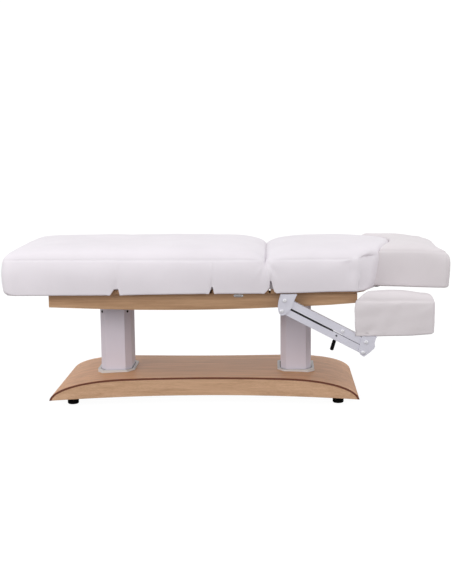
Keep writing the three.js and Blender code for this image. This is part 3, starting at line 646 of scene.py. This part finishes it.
def bump_at(d, w):
    return np.exp(-((d / w) ** 2))


def seam_z(x, y):
    side = np.sign(y)
    base = np.interp(x, [-880, -800, -600, -350, 215, 433, 608, 700, 785, 900], [683.5, 682, 680, 678.5, 677, 678, 680.5, 685, 688, 688])
    return base + 0.6 * np.sin(x / 118.0 + side) + 0.4 * np.sin(x / 47.0 + 2 * side) - 10.0 * np.exp(-np.abs(x - CREASE) / 15.0)


def side_product(x, y, lam):
    q = (1 - np.exp(-np.maximum(y + HY, 0) / lam)) * (1 - np.exp(-np.maximum(HY - y, 0) / lam))
    q = q * (1 - np.exp(-np.maximum(x + 880, 0) / (lam * 1.14)))
    ay = np.abs(y)
    bow_x = np.interp(ay, [0, 70, 135, 200, 270, 400], [860, 854, 840, 815, 785, 732])
    q = q * (1 - np.exp(-np.maximum((bow_x - x) * 0.93, 0) / (lam * 0.16)))
    facet = ((683 - x) * 110 + (380 - ay) * 102) / 150.0
    return q * (1 - np.exp(-np.maximum(facet, 0) / lam))


MATTRESS = arc(-834, -334, 46, 180, 270, 12) + [(683, -380), (785, -270), (815, -200), (840, -135), (854, -70), (860, 0)]
MATTRESS = MATTRESS + [(x, -y) for x, y in reversed(MATTRESS[:-1])]


def crown(x, y):
    d = outline_distance(x, y, MATTRESS)
    ay = np.abs(y)
    near = np.minimum.reduce([HY - ay, x + 880, ((683 - x) * 110 + (380 - ay) * 102) / 150.0,
                              (np.interp(ay, [0, 70, 135, 200, 270, 400], [860, 854, 840, 815, 785, 732]) - x) * 0.93])
    gate = 1 - np.exp(-4.0 * d / np.maximum(near, 0.5))
    return (0.5 * side_product(x, y, 17.0) + 0.5 * side_product(x, y, 72.0)) * gate


def mattress_top(x, y):
    u = crown(x, y)
    lam = np.where(x < CREASE, 58.0, 78.0)
    e = np.exp(-np.abs(x - CREASE) / lam)
    deep = np.clip(0.68 + 1.9 * (1 - u), 0, 1.0)
    z = 686.5 + (seam_z(x, y) - 686.5) * (1 - u) + 54.0 * u * (1 - deep * e)
    z = z - (9.0 * u + 16.0 * u * (1 - u)) * np.exp(-np.abs(x - CREASE) / 4.6)
    z = z + waves(x, y, 11, 150) * 0.9 * u
    # shallow rolls across the two other fold lines
    for fold, depth, width in ((KNEE, 1.6, 30.0), (THIGH, 1.3, 26.0)):
        z = z - depth * u * bump_at(x - fold, width)
    return z


def mattress_hem(x, y):
    z = np.interp(x, [-880, -345, -268, -93, 0, 285, 300, 433, 565, 700, 900], [524.6, 524.6, 526.6, 528.6, 529.4, 529.4, 531.0, 532.6, 536.6, 537.5, 537.5])
    for steps in NOTCHES:
        z = z + np.interp(x, [a for a, _ in steps], [b for _, b in steps]) * (np.abs(y) > 300)
    return z


def mattress_curl(x, y):
    r = np.full(np.shape(x), 8.0)
    r = r + 17.0 * np.clip((-826 - x) / 40.0, 0, 1)
    for steps in NOTCHES:
        r = np.where((x > steps[0][0] - 12) & (x < steps[-1][0] + 12), 4.5, r)
    return r


def mattress_inset(x, y):
    return 14.0 + 0.0 * x + 0.0 * y


def ridge(x, z, x0, z0, x1, z1, width, height, grow=0.0):
    """a soft fold along a line on the skirt, fading at both ends"""
    dx, dz = x1 - x0, z1 - z0
    l = math.hypot(dx, dz)
    t = ((x - x0) * dx + (z - z0) * dz) / l
    s = ((x - x0) * -dz + (z - z0) * dx) / l
    fade = np.clip(t / (0.18 * l), 0, 1) * np.clip((l - t) / (0.45 * l), 0, 1)
    return height * fade * np.exp(-((s / (width * (1 + grow * np.clip(t / l, 0, 1)))) ** 2))


def mattress_sewn(x, y):
    return 2.6 * min(1.0, max(0.0, abs(x - CREASE) - 12.0) / 40.0) * np.interp(x, [-880, -800, 640, 672], [0.0, 1.0, 1.0, 0.0])


def mattress_offset(f, x, y, zs, z):
    flat = np.interp(x, [692.0, 735.0], [0.0, 1.0])
    rim = np.interp(f, [0, 0.04, 0.1, 1.0], [-1.5, 1.0, 2.0, 1.0])
    # the shoulder is rounder at its top edge
    rounder = np.interp(f, [0, 0.022, 0.05, 0.1, 0.16, 0.25, 0.4, 0.7, 1.0], [-15.5, -12.8, -10.9, -8.0, -5.3, -2.4, 0.0, 1.5, 0.5])
    rim = rim + (rounder - rim) * float(np.interp(abs(y), [250, 305], [0.0, 1.0]))
    o = bolster(f) * (1 - flat) + flat * rim
    if f[0] == 0.0:  # the sewn line is lost in the crease, round the foot corner and on the shoulder
        o = o + 1.1 * (1 - min(1.0, abs(x - CREASE) / 40.0) * np.interp(x, [-880, -800, 640, 672], [0.0, 1.0, 1.0, 0.0]))
    side = 0 if y < 0 else 1
    if abs(y) > 300 and -800 < x < 690:
        xs = x
        # pinch where the seat and back pads meet, drawn in towards the hinge
        lean = CREASE + (BACK - CREASE) * np.clip((665 - z) / 110.0, 0, 1)
        o = o - 8.0 * np.exp(-np.abs(xs - lean) / 12.0) * np.interp(z, [540, 585, 640, 668, 700], [0.6, 0.35, 0.6, 1.0, 0.8])
        o = o - 4.5 * np.exp(-np.abs(xs - lean) / 3.6) * np.interp(z, [540, 640, 656, 668, 700], [0.0, 0.0, 0.2, 1.0, 1.0])
        o = o - 7.0 * bump_at(np.hypot(xs - CREASE, (z - 664) * 0.8), 26.0)
        k = 1.0 if side == 0 else 0.8
        o = o + k * ridge(xs, z, 272, 660, 232, 588, 7.0, 2.6, 0.8) - k * ridge(xs, z, 270, 655, 248, 590, 5.0, 2.2, 0.8)
        o = o + k * ridge(xs, z, 284, 662, 322, 575, 7.0, 3.2, 1.0) - k * ridge(xs, z, 289, 664, 340, 600, 6.0, 2.2, 1.0)
        o = o - k * ridge(xs, z, 284, 655, 303, 585, 5.0, 2.4, 0.6) + k * ridge(xs, z, 294, 668, 372, 636, 8.0, 1.8, 0.6)
        # soft dent and small folds before the shoulder of the back pad
        o = o - 9.0 * bump_at(np.hypot((xs - 655) / 1.0, (z - 636) * 0.7), 30.0)
        o = o + k * ridge(xs, z, 655, 682, 598, 664, 6.0, 2.0, 0.6) - k * ridge(xs, z, 660, 674, 615, 650, 6.0, 2.4, 0.8)
        # drawn-in cloth above each notch
        for at in (-376.0, 44.0):
            o = o - 2.6 * np.exp(-np.abs(xs - at) / 13.0) * np.interp(z, [528, 560, 600, 660], [0.6, 1.0, 0.35, 0.0])
        o = o + 0.9 * waves(np.array([xs]), np.array([float(z[0])]), 21 + side, 120)[0] * np.interp(f, [0, 0.1, 1], [0.2, 1.0, 0.8])
    elif x >= 690 and abs(y) > 275:
        o = o + np.interp(f, [0, 0.25, 0.6, 1.0], [-3.0, -2.0, 0.5, 1.5]) * np.interp(x, [690, 712, 740, 765], [0.0, 1.0, 1.0, 0.0])
        o = o + 0.7 * waves(np.array([y]), np.array([float(z[0])]), 31, 110)[0] * np.interp(f, [0, 0.1, 1], [0.2, 1.0, 0.8])
    elif x < -700:
        o = o + np.interp(z, [528, 560, 620, 686], [0.0, 1.5, 2.5, 0.0])
        o = o + k_foot(x, y, z)
        o = o + 4.5 * np.interp(f, [0, 0.1, 0.2], [1.0, 0.7, 0.0]) * np.interp(x, [-880, -815], [1.0, 0.0])
    else:
        o = o + 0.7 * waves(np.array([y]), np.array([float(z[0])]), 31, 110)[0] * np.interp(f, [0, 0.1, 1], [0.2, 1.0, 0.8])
    return o


def k_foot(x, y, z):
    s = abs(y)
    return 0.9 * np.sin(s / 37.0) * np.interp(z, [528, 600, 686], [0, 1, 0]) - 1.6 * bump_at(np.hypot(s - 352, (z - 672) * 1.4), 14.0)


def line_x(x0, x1, y, params):
    return np.stack([x0 + (x1 - x0) * params, np.full(len(params), float(y))], 1)


def merge_marks(base, marks, length, x0):
    """adds closely spaced stations round each mark, so that folds and notches have enough vertices"""
    xs = list(x0 + base * length)
    for m, reach, step in marks:
        xs = [x for x in xs if abs(x - m) > reach + step * 0.6]
        xs += list(np.arange(m - reach, m + reach + 1e-6, step))
    xs = sorted(x for x in xs if x0 - 1e-6 <= x <= x0 + length + 1e-6)
    out = [xs[0]]
    for x in xs[1:]:
        if x - out[-1] > 0.6:
            out.append(x)
    return (np.array(out) - x0) / length


vs_full = spread(760.0, 13.0, fine=(3.0, 7.0, 12.0, 18.0, 26.0))

# calf and thigh piece
foot_arc = arc(-834, -334, 46, 225, 270, 8)
near_a = foot_arc + [(CUT_A, -HY)]
length_a = 36.1 + (CUT_A + 834)
us_a = spread(length_a, 13.0, (True, False), fine=(4.0, 9.0, 14.0, 20.0, 27.0))
us_a = merge_marks(us_a, [(KNEE, 36.0, 2.2)], length_a, CUT_A - length_a)
foot_end = arc(-834, -334, 46, 225, 180, 8) + [(-880, 0)]
foot_end = foot_end + [(x, -y) for x, y in reversed(foot_end[:-1])]
Na = resample(near_a, us_a)
Fa = Na * [1, -1]
La = resample(foot_end, vs_full)
Ra = np.stack([np.full(len(vs_full), CUT_A), -HY + 2 * HY * vs_full], 1)
sides_a = {"near": Na, "far": Fa, "left": La, "right": Ra}
pad_a = Pad("leg_pad", sides_a, sides_a, us_a, vs_full, mattress_top, seam_z, mattress_hem, mattress_curl, 548.0,
            mattress_inset, mattress_offset, cuts=("right",), sewn=mattress_sewn)

# thigh and seat piece
length_b = CUT_B - CUT_A
us_b = merge_marks(spread(length_b, 13.0, (False, False), fine=()), [(THIGH + 5, 26.0, 2.0)], length_b, CUT_A)
Nb_ = line_x(CUT_A, CUT_B, -HY, us_b)
sides_b = {"near": Nb_, "far": Nb_ * [1, -1], "left": Ra.copy(), "right": np.stack([np.full(len(vs_full), CUT_B), -HY + 2 * HY * vs_full], 1)}
pad_b = Pad("seat_pad", sides_b, sides_b, us_b, vs_full, mattress_top, seam_z, mattress_hem, mattress_curl, 548.0,
            mattress_inset, mattress_offset, cuts=("left", "right"), sewn=mattress_sewn)

# seat and back piece, with the sloping shoulders and bowed end
r_sh = 22.0
sh_t = r_sh * math.tan(math.radians(47.2 / 2))
near_c = [(CUT_B, -HY), (683 - sh_t, -HY)] + arc(683 - sh_t, -HY + r_sh, r_sh, 270, 270 + 47.2, 8)[1:] + [(734, -325)]
len_c = sum(math.dist(p, q) for p, q in zip(near_c, near_c[1:]))
us_c = spread(len_c, 11.0, (False, False), fine=())
us_c = merge_marks(us_c, [(CREASE + 12, 52.0, 2.4), (CREASE, 13.0, 1.3), (683 - 0, 40.0, 4.5)], len_c, CUT_B)
Nc = resample(near_c, us_c)
bow_half = [(734, -325), (776, -279.7), (787.5, -262), (800, -234), (821, -185), (840, -135), (850, -95), (857, -48), (860, 0)]
bow_full = bow_half + [(x, -y) for x, y in reversed(bow_half[:-1])]
vs_c = vs_full
Rc = resample(bow_full, vs_c)
LEAN = 0.175 * 160.0


def facet_drop(p):
    """where a point of the outline at seam height comes to at the hem: the bowed end leans in, the shoulder stays upright"""
    x, y = p
    ay = abs(y)
    if x < 683 or ay > 374:
        return (x, y)
    if ay > 270:  # on the shoulder: its edge with the bowed end moves from (785,-270) to (713,-348)
        t = (380 - ay) / 110.0
        return (683 + (713 - 683) * t, math.copysign(380 - (380 - 348) * t, y))
    yb = ay * 348.0 / 270.0
    xb = np.interp(yb, [0, 70, 135, 200, 270, 324, 348], [860, 854, 840, 815, 785, 759, 713 + LEAN]) - LEAN
    return (float(xb), math.copysign(yb, y))


Ncb = np.array([facet_drop(p) for p in Nc])
Rcb = np.array([facet_drop(p) for p in Rc])
sides_c = {"near": Nc, "far": Nc * [1, -1], "left": sides_b["right"].copy(), "right": Rc}
bottom_c = {"near": Ncb, "far": Ncb * [1, -1], "left": sides_b["right"].copy(), "right": Rcb}
pad_c = Pad("back_pad", sides_c, bottom_c, us_c, vs_c, mattress_top, seam_z, mattress_hem, mattress_curl, 548.0,
            mattress_inset, mattress_offset, cuts=("left",), sewn=mattress_sewn)

join_normals((pad_a, pad_b, pad_c), (CUT_A, CUT_B))
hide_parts("calf_cushion", "thigh_cushion")
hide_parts("thigh_fold_wedge", "thigh_cushion", "seat_cushion")
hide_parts("seat_cushion", "back_fold_wedge", "back_cushion")
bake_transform(pad_a.ob, "calf", "thigh", start=row((KNEE - 95, 0, 552)), end=row((KNEE + 95, 0, 552)))
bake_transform(pad_b.ob, "thigh", "bed_frame", start=row((THIGH - 85, 0, 552)), end=row((THIGH + 85, 0, 552)))
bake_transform(pad_c.ob, "bed_frame", "back", start=row((BACK - 105, 0, 552)), end=row((BACK + 95, 0, 552)))

# ---- head pad
DROOP = math.radians(1.9)
HP = np.array([803.0, 0.0, 540.0])


def droop(v):
    out = v - HP
    c, s = math.cos(DROOP), math.sin(DROOP)
    x, z = out[:, 0] * c + out[:, 2] * s, -out[:, 0] * s + out[:, 2] * c
    return np.stack([x, out[:, 1], z], 1) + HP


def head_inner(y):
    return np.interp(np.abs(y), [0, 70, 135, 200, 270, 400], [860, 854, 840, 815, 785, 732]) - 11.0


HH = 258.0
head_out = [(float(head_inner(-HH)), -HH)]
head_near = [(float(head_inner(HH)), -HH), (1060, -HH)] + arc(1066, -HH + 40, 40, 270, 315, 7)
head_right = arc(1066, -HH + 40, 40, 315, 360, 7) + [(1109, -90), (1110, 0)]
head_right = head_right + [(x, -y) for x, y in reversed(head_right[:-1])]
left_ys = np.linspace(-HH, HH, 41)
head_left = [(float(head_inner(y)), float(y)) for y in left_ys]
us_h = spread(300.0, 9.0, fine=(3.0, 7.0, 12.0, 18.0))
vs_h = spread(516.0, 10.0, fine=(3.0, 7.0, 12.0, 18.0))
Nh, Rh, Lh = resample(head_near, us_h), resample(head_right, vs_h), resample(head_left, vs_h)
sides_h = {"near": Nh, "far": Nh * [1, -1], "left": Lh, "right": Rh}
Lhb = Lh - [0.22 * 157.0, 0.0]
frac = np.clip((Nh[:, 0] - Nh[0, 0]) / 90.0, 0, 1)
Nhb = Nh - np.stack([0.22 * 157.0 * (1 - frac) ** 1.0, np.zeros(len(frac))], 1)
bottom_h = {"near": Nhb, "far": Nhb * [1, -1], "left": Lhb, "right": Rh}
HEAD_LOOP = np.concatenate([Nh, Rh[1:], (Nh * [1, -1])[::-1][1:], Lh[::-1][1:-1]])


def head_seam(x, y):
    """the seam line of the head pad, sagging in the middle of the free end"""
    sag = np.clip((x - 980.0) / 128.0, 0, 1) ** 1.4 * (1 - np.clip(np.abs(y) / HH, 0, 1) ** 2)
    return 706.0 + 0.8 * np.sin(x / 40.0 + y / 90.0) - 22.0 * sag - 4.0 * np.clip((x - 1060) / 48.0, 0, 1)


def head_top(x, y):
    d = outline_distance(x, y, HEAD_LOOP[::2])
    ay = np.abs(y)
    dn, df = HH - ay, 1108 - x
    di = x - head_inner(y)
    q = lambda lam, end: np.prod([1 - np.exp(-np.maximum(k, 0) / l) for k, l in ((HH + y, lam), (HH - y, lam), (df, end * 1.12), (di, lam * 0.2))], axis=0)
    gate = 1 - np.exp(-4.0 * d / np.maximum(np.minimum.reduce([dn, df, di]), 0.5))
    u = (0.45 * q(13.0, 34.0) + 0.55 * q(52.0, 110.0)) * gate
    z = head_seam(x, y) + 38.0 * u + 1.0 * u * waves(x, y, 51, 110)
    # faint quilting dip across the pad behind the face
    z = z - 2.2 * u * bump_at(x - 905 + ay * 0.12, 26.0)
    return z


def head_offset(f, x, y, zs, z):
    o = groove(f, 2.0) * 1.15
    if abs(y) > 200 and x < 1060:
        o = o - 3.0 * bump_at(np.hypot(x - 880, (z - 575) * 0.8), 48.0) + 1.2 * waves(np.array([x]), np.array([float(z[0])]), 61, 100)[0]
        o = o + ridge(x, z, 1050, 690, 985, 640, 9.0, 1.3, 0.8) - ridge(x, z, 860, 640, 905, 570, 12.0, 1.6, 0.8)
    # the free end is rounder at its top edge; sewn corner: a shallow upright valley either side of the rounded corner
    ay = abs(y)
    o = o - 15.0 * np.clip((x - 1030) / 60.0, 0, 1) * np.exp(-f / 0.13)
    o = o - 1.8 * bump_at(math.hypot(x - 1066, ay - HH), 5.0)
    return o


pad_h = Pad("head_pad", sides_h, bottom_h, us_h, vs_h, head_top, head_seam,
            lambda x, y: np.full(np.shape(x), 543.5), lambda x, y: np.full(np.shape(x), 9.0), 564.5,
            lambda x, y: np.full(np.shape(x), 19.0), head_offset, warp=droop)
# the head pad takes the darker leatherette copy: painted shade
pad_h.ob.data.materials[0] = M["hide_warm"]
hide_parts("head_cushion")
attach(pad_h.ob, "head")


# ---- armrest pads
def arm_pad(side, sgn, move):
    dx, dz = move
    near = [(673, -380), (1004, -380)] + arc(1006, -362, 18, 270, 315, 5)
    right = arc(1006, -362, 18, 315, 360, 5) + [(1026, -318)] + arc(1006, -308, 18, 0, 75, 6)
    far = [(790, -270.5), (900, -276), (1008, -290.5)]
    left = [(673, -380), (790, -270.5)]
    us = spread(346.0, 8.0, fine=(2.5, 6.0, 11.0, 17.0))
    vs = spread(100.0, 7.0, fine=(2.5, 6.0, 11.0, 17.0))
    Nn, Rr, Ff, Ll = resample(near, us), resample(right, vs), resample(far, us), resample(left, vs)
    Rr[-1] = Ff[-1]
    loop = np.concatenate([Nn, Rr[1:], Ff[::-1][1:], Ll[::-1][1:-1]])

    def top(x, y):
        d = outline_distance(x, y, loop)
        s1 = ((x - 673) * 110 - (y + 380) * 117) / 160.6
        edges = (y + 380, np.interp(x, [786, 900, 1030], [-270, -276, -292]) - y, s1, 1026 - x)
        q = lambda lam: np.prod([1 - np.exp(-np.maximum(k, 0) / lam) for k in edges], axis=0)
        gate = 1 - np.exp(-4.0 * d / np.maximum(np.minimum.reduce(edges), 0.5))
        u = (0.45 * q(8.0) + 0.55 * q(26.0)) * gate
        along = np.interp(x, [684, 700, 727, 767, 802, 833, 878, 922, 966, 1011, 1026], [1.2, 1.3, 1.4, 1.11, 1.05, 1.02, 0.99, 0.88, 0.79, 0.88, 0.9])
        return seam(x, y) + 50.0 * u * along + 0.7 * u * waves(x, y, 71, 90)

    def seam(x, y):
        return 497.0 - np.clip((x - 700) / 320.0, 0, 1) * 3.0 + 0.9 * np.sin(x / 33.0)

    def hem(x, y):
        z = np.interp(x, [684, 780, 921, 957, 1010, 1026], [339, 337.5, 339.5, 342, 346, 350])
        # a slot in the hidden slanting side, where the upper bar comes in under the pad
        return z + 24.0 * np.interp(y, [-379.4, -377.5, -345.0, -340.0], [0, 1, 1, 0]) * (np.asarray(x) < 795)

    def offset(f, x, y, zs, z):
        o = groove(f, 1.8) * 1.2 - 1.5
        o = o - 2.4 * bump_at(np.hypot(x - 842, z - 400), 55.0) + 1.3 * waves(np.array([x + y]), np.array([float(z[0])]), 81, 80)[0] * np.interp(f, [0, 0.1, 1], [0.2, 1, 0.8])
        o = o - ridge(x, z, 1012, 486, 952, 452, 7.0, 2.2, 1.0) + ridge(x, z, 1008, 478, 948, 436, 8.0, 1.6, 1.0)
        o = o + ridge(x, z, 700, 360, 760, 420, 9.0, 1.4, 0.8) - ridge(x, z, 702, 352, 780, 372, 7.0, 1.4, 0.8)
        return o

    def warp(v):
        out = v.copy()
        # a channel in the underside for the bar's end
        low = (out[:, 2] < 364) & (out[:, 2] > 351.5) & (out[:, 0] < 748) & (out[:, 1] < -338) & (out[:, 1] > -374.5)
        out[low, 2] = 366.0
        out[:, 1] *= -sgn
        out[:, 0] += dx
        out[:, 2] += dz
        return out

    pad = Pad("armrest_pad_" + side, {"near": Nn, "far": Ff, "left": Ll, "right": Rr}, {"near": Nn, "far": Ff, "left": Ll, "right": Rr},
              us, vs, top, seam, hem, lambda x, y: np.interp(x, [672, 700, 730], [2.0, 4.0, 7.0]), 352.0,
              lambda x, y: np.interp(x, [672, 742, 765], [3.0, 3.0, 14.0]), offset, warp=warp)
    if sgn > 0:
        pad.ob.data.flip_normals()
    # the armrest pad takes the darker leatherette copy: painted shade
    pad.ob.data.materials[0] = M["hide_warm"]
    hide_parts("arm_cushion_" + side)
    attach(pad.ob, side + "_armrest")
    return pad


ARM_L, DOWN = 404.7, math.radians(-27.5)
RISE = (ARM_L * (1 - math.cos(DOWN)), -ARM_L * math.sin(DOWN))
pad_near = arm_pad("near", -1, (0.0, 0.0))
pad_far = arm_pad("far", 1, RISE)

# ------------------------------------------------------------------ small hardware
def basis(axis):
    w = np.array(axis, float)
    w /= np.linalg.norm(w)
    u = np.cross(w, (0.0, 0.0, 1.0) if abs(w[2]) < 0.9 else (0.0, 1.0, 0.0))
    u /= np.linalg.norm(u)
    return u, np.cross(w, u), w


def lathe(name, profile, at, axis, body, material, segs=40, stands_for=None):
    """a turned piece: (radius, height) pairs from the point at along the axis, in drawing millimetres"""
    u, v, w = basis(axis)
    at = np.array(at, float)
    verts, faces, rows = [], [], []
    ang = np.linspace(0, 2 * math.pi, segs, endpoint=False)
    for r, h in profile:
        if r < 1e-6:
            rows.append([len(verts)])
            verts.append(at + w * h)
        else:
            rows.append(list(range(len(verts), len(verts) + segs)))
            verts.extend(at + w * h + r * (math.cos(a) * u + math.sin(a) * v) for a in ang)
    for p, q in zip(rows, rows[1:]):
        for k in range(segs):
            n = (k + 1) % segs
            if len(p) == 1:
                faces.append((p[0], q[n], q[k]))
            elif len(q) == 1:
                faces.append((p[k], p[n], q[0]))
            else:
                faces.append((p[k], p[n], q[n], q[k]))
    ob = make_object(name, row(np.array(verts)), faces, (), M[material])
    ob.data.set_sharp_from_angle(angle=math.radians(35))
    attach(ob, body)
    if stands_for:
        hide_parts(stands_for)
    return ob


def plate_xz(name, outline, y0, y1, body, material, bevel=0.4, stands_for=None):
    """a flat plate: an outline in X,Z between two Y planes, with its edges broken"""
    n = len(outline)
    area2 = sum(outline[i][0] * outline[(i + 1) % n][1] - outline[(i + 1) % n][0] * outline[i][1] for i in range(n))
    pts = outline if area2 > 0 else outline[::-1]
    verts = [(x, y0, z) for x, z in pts] + [(x, y1, z) for x, z in pts]
    faces = [tuple(range(n)), tuple(range(2 * n - 1, n - 1, -1))]
    faces += [(i, i + n, (i + 1) % n + n, (i + 1) % n) for i in range(n)]
    ob = make_object(name, row(np.array(verts, float)), faces, range(len(faces)), M[material])
    bev = ob.modifiers.new("bevel", "BEVEL")
    bev.width = bevel / 1000.0
    bev.segments = 2
    bev.limit_method = "ANGLE"
    bev.angle_limit = math.radians(40)
    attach(ob, body)
    if stands_for:
        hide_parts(stands_for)
    return ob


def turn(p, origin, deg):
    c, s = math.cos(math.radians(deg)), math.sin(math.radians(deg))
    return (origin[0] + p[0] * c - p[1] * s, origin[1] + p[0] * s + p[1] * c)


DOME = [(0, 0), (8.9, 0), (9.3, 0.3), (9.3, 1.0), (8.9, 1.3), (8.3, 1.3), (8.3, 3.0), (8.05, 4.0), (7.2, 4.8), (5.8, 5.4), (4.2, 5.75), (3.4, 5.8), (3.15, 5.6), (3.1, 4.2), (0, 4.2)]
LOW_DOME = [(0, 0), (8.1, 0), (8.1, 2.2), (7.8, 3.1), (6.8, 3.8), (5.0, 4.3), (3.3, 4.5), (3.05, 4.3), (3.0, 3.3), (0, 3.3)]
ARM_A, ARM_B = (362.7, 499.9), (349.8, 452.5)
for side, sy, deg in (("near", -1, -27.5), ("far", 1, 0.0)):
    C, D = turn((ARM_L, 0), ARM_A, deg), turn((ARM_L, 0), ARM_B, deg)
    out = (0, sy, 0)
    for tag, (bx, bz), body in (("A", ARM_A, "back"), ("B", ARM_B, "back"), ("C", C, side + "_armrest"), ("D", D, side + "_armrest")):
        lathe(f"pivot_bolt_{side}_{tag}", DOME, (bx, sy * 380.0, bz), out, body, "zinc")
    bx, bz = turn((290.1, -5.1), ARM_A, deg)
    lathe(f"lock_bolt_{side}", LOW_DOME, (bx, sy * 376.0, bz), out, side + "_upper_link", "zinc")
    # black strip lying on the lower bar, in the gap between the two bars: painted shade, a dark sheet standing for the
    # shade in that gap
    ys, ye = sorted((sy * 346.6, sy * 376.4))
    plate_xz(f"gap_shade_strip_{side}", [turn(q, ARM_B, deg) for q in ((27, 20.6), (180, 20.6), (243, 22.2), (243, 24.9), (27, 24.9))], ys, ye,
             side + "_lower_link", "button", bevel=0.3)
    # release lever: painted strip, stud and ribbed rubber grip
    at = turn((265.1, 12.7), ARM_B, deg)
    body, node = side + "_release_lever", "arm_release_lever_" + side
    strip = [(-4.5, 6), (4.5, 6), (6, 4.5), (5.1, -31), (3.6, -32), (-3.6, -32), (-5.1, -31), (-6, 4.5)]
    ya, yb = sorted((sy * 341.8, sy * 345.6))
    plate_xz(f"lever_strip_{side}", [turn(p, at, deg + 10.9) for p in strip], ya, yb, body, "frame", stands_for=node)
    lathe(f"lever_stud_{side}", [(0, 0), (4.0, 0), (4.0, 34.0), (3.6, 34.6), (0, 34.7)], (at[0], sy * 342.0, at[1]), out, body, "frame", 24, node)
    tip = math.radians(deg + 10.9 - 90.0)
    grip = [(0, 24.0), (4.6, 24.0), (6.2, 25.2), (7.6, 27.6), (8.2, 30.0)]
    for k in range(11):
        h = 31.5 + 3.0 * k
        grip += [(8.5, h), (8.5, h + 1.5), (7.8, h + 1.9), (7.8, h + 2.6)]
    grip += [(8.5, 65.0), (8.4, 67.5), (7.6, 69.8), (6.0, 71.6), (3.4, 72.5), (0, 72.8)]
    lathe(f"lever_grip_{side}", grip, (at[0], sy * 351.0, at[1]), (math.cos(tip), 0, math.sin(tip)), body, "rubber", 32, node)

# plywood blocks under the knee joint of the boards, seen through the first notch
for side, sy in (("near", -1), ("far", 1)):
    ya, yb = sorted((sy * 313.0, sy * 360.5))
    plate_xz(f"knee_rest_block_{side}", [(KNEE - 10.4, 528.3), (KNEE + 10.4, 528.3), (KNEE + 2.4, 545.5), (KNEE - 2.4, 545.5)], ya, yb, "bed_frame", "ply")

# turned rubber feet
FOOT = [(0, 0), (18.4, 0), (20.6, 0.5), (22.4, 1.8), (23.5, 3.8), (23.9, 6.5), (23.9, 11.6), (23.2, 12.2), (23.2, 13.4), (23.9, 14.0), (23.9, 21.5),
        (23.6, 24.5), (22.6, 27.2), (20.6, 29.2), (18.0, 29.9), (11.5, 29.9), (10.8, 31.0), (10.8, 33.4), (10.2, 34.0), (7.0, 34.0), (7.0, 41.6), (0, 41.6)]
for end, sx in (("foot", -1), ("head", 1)):
    for side, sy in (("near", -1), ("far", 1)):
        lathe(f"foot_{end}_{side}", [(r * 1.0625, h) for r, h in FOOT], (sx * 609, sy * 215, 0), (0, 0, 1), "base", "rubber", 48, f"rubber_foot_{end}_{side}")

def octagon(x, hx, hy, cx, cy):
    return [(x - hx, -hy + cy), (x - hx + cx, -hy), (x + hx - cx, -hy), (x + hx, -hy + cy), (x + hx, hy - cy), (x + hx - cx, hy), (x - hx + cx, hy), (x - hx, hy - cy)]


# black wiper seals in the gap between each collar and its sleeve
for end, cx in (("foot", -426.0), ("head", 417.5)):
    outer, inner = octagon(cx, 74.3, 110.8, 26.4, 38.9), octagon(cx, 71.6, 106.7, 25.6, 38.1)
    verts = [(x, y, z) for z in (112.0, 131.2) for ringed in (outer, inner) for x, y in ringed]
    faces = []
    for k in range(8):
        q = (k + 1) % 8
        faces += [(k, q, q + 16, k + 16), (q + 8, k + 8, k + 24, q + 24), (k + 16, q + 16, q + 24, k + 24), (q, k, k + 8, q + 8)]
    seal = make_object(f"collar_seal_{end}", row(np.array(verts)), faces, range(len(faces)), M["button"])
    seal_bevel = seal.modifiers.new("bevel", "BEVEL")
    seal_bevel.width = 0.0004
    seal_bevel.segments = 2
    seal_bevel.limit_method = "ANGLE"
    seal_bevel.angle_limit = math.radians(40)
    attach(seal, "base")

# black button screws near the top of each sleeve, on its four chamfers
BUTTON = [(0, 0), (5.6, 0), (5.7, 0.6), (5.4, 1.9), (4.6, 3.0), (3.4, 3.7), (2.1, 3.95), (1.9, 3.8), (1.9, 2.4), (0, 2.4)]
for end, cx in (("foot", -426.0), ("head", 417.5)):
    for kx in (-1, 1):
        for ky in (-1, 1):
            lathe(f"sleeve_screw_{end}_{'lr'[kx > 0]}{'nf'[ky > 0]}", BUTTON, (cx + kx * 58.25, ky * 87.0, 406.0), (kx * 0.83, ky * 0.557, 0), "bed_frame",
                  "button", 24)


def oval_plate(name, x, y, z, half_w, half_h, body):
    """a dished chrome oval, standing out from the face at y towards -Y"""
    steps = [(0.0, 0.0), (0.0, 1.3), (0.5, 2.3), (1.4, 3.0), (2.5, 3.1), (3.4, 2.5), (4.0, 1.5), (4.6, 1.1)]
    a0 = np.radians(np.linspace(-90, 90, 17))
    verts, rows = [], []
    for inset, h in steps:
        r, cx = half_h - inset, half_w - half_h
        ring = [(x + cx + r * math.cos(a), z + r * math.sin(a)) for a in a0] + [(x - cx - r * math.cos(a), z - r * math.sin(a)) for a in a0]
        rows.append(list(range(len(verts), len(verts) + len(ring))))
        verts += [(px, y - h, pz) for px, pz in ring]
    n = len(rows[0])
    faces = [tuple(reversed(rows[0]))]
    for p, q in zip(rows, rows[1:]):
        faces += [(p[k], p[(k + 1) % n], q[(k + 1) % n], q[k]) for k in range(n)]
    faces.append(tuple(rows[-1]))
    ob = make_object(name, row(np.array(verts, float)), faces, (0, len(faces) - 1), M["chrome"])
    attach(ob, body)
    return ob


oval_plate("apron_oval_plate", 158.9, -330.0, 515.5, 22.0, 7.6, "bed_frame")
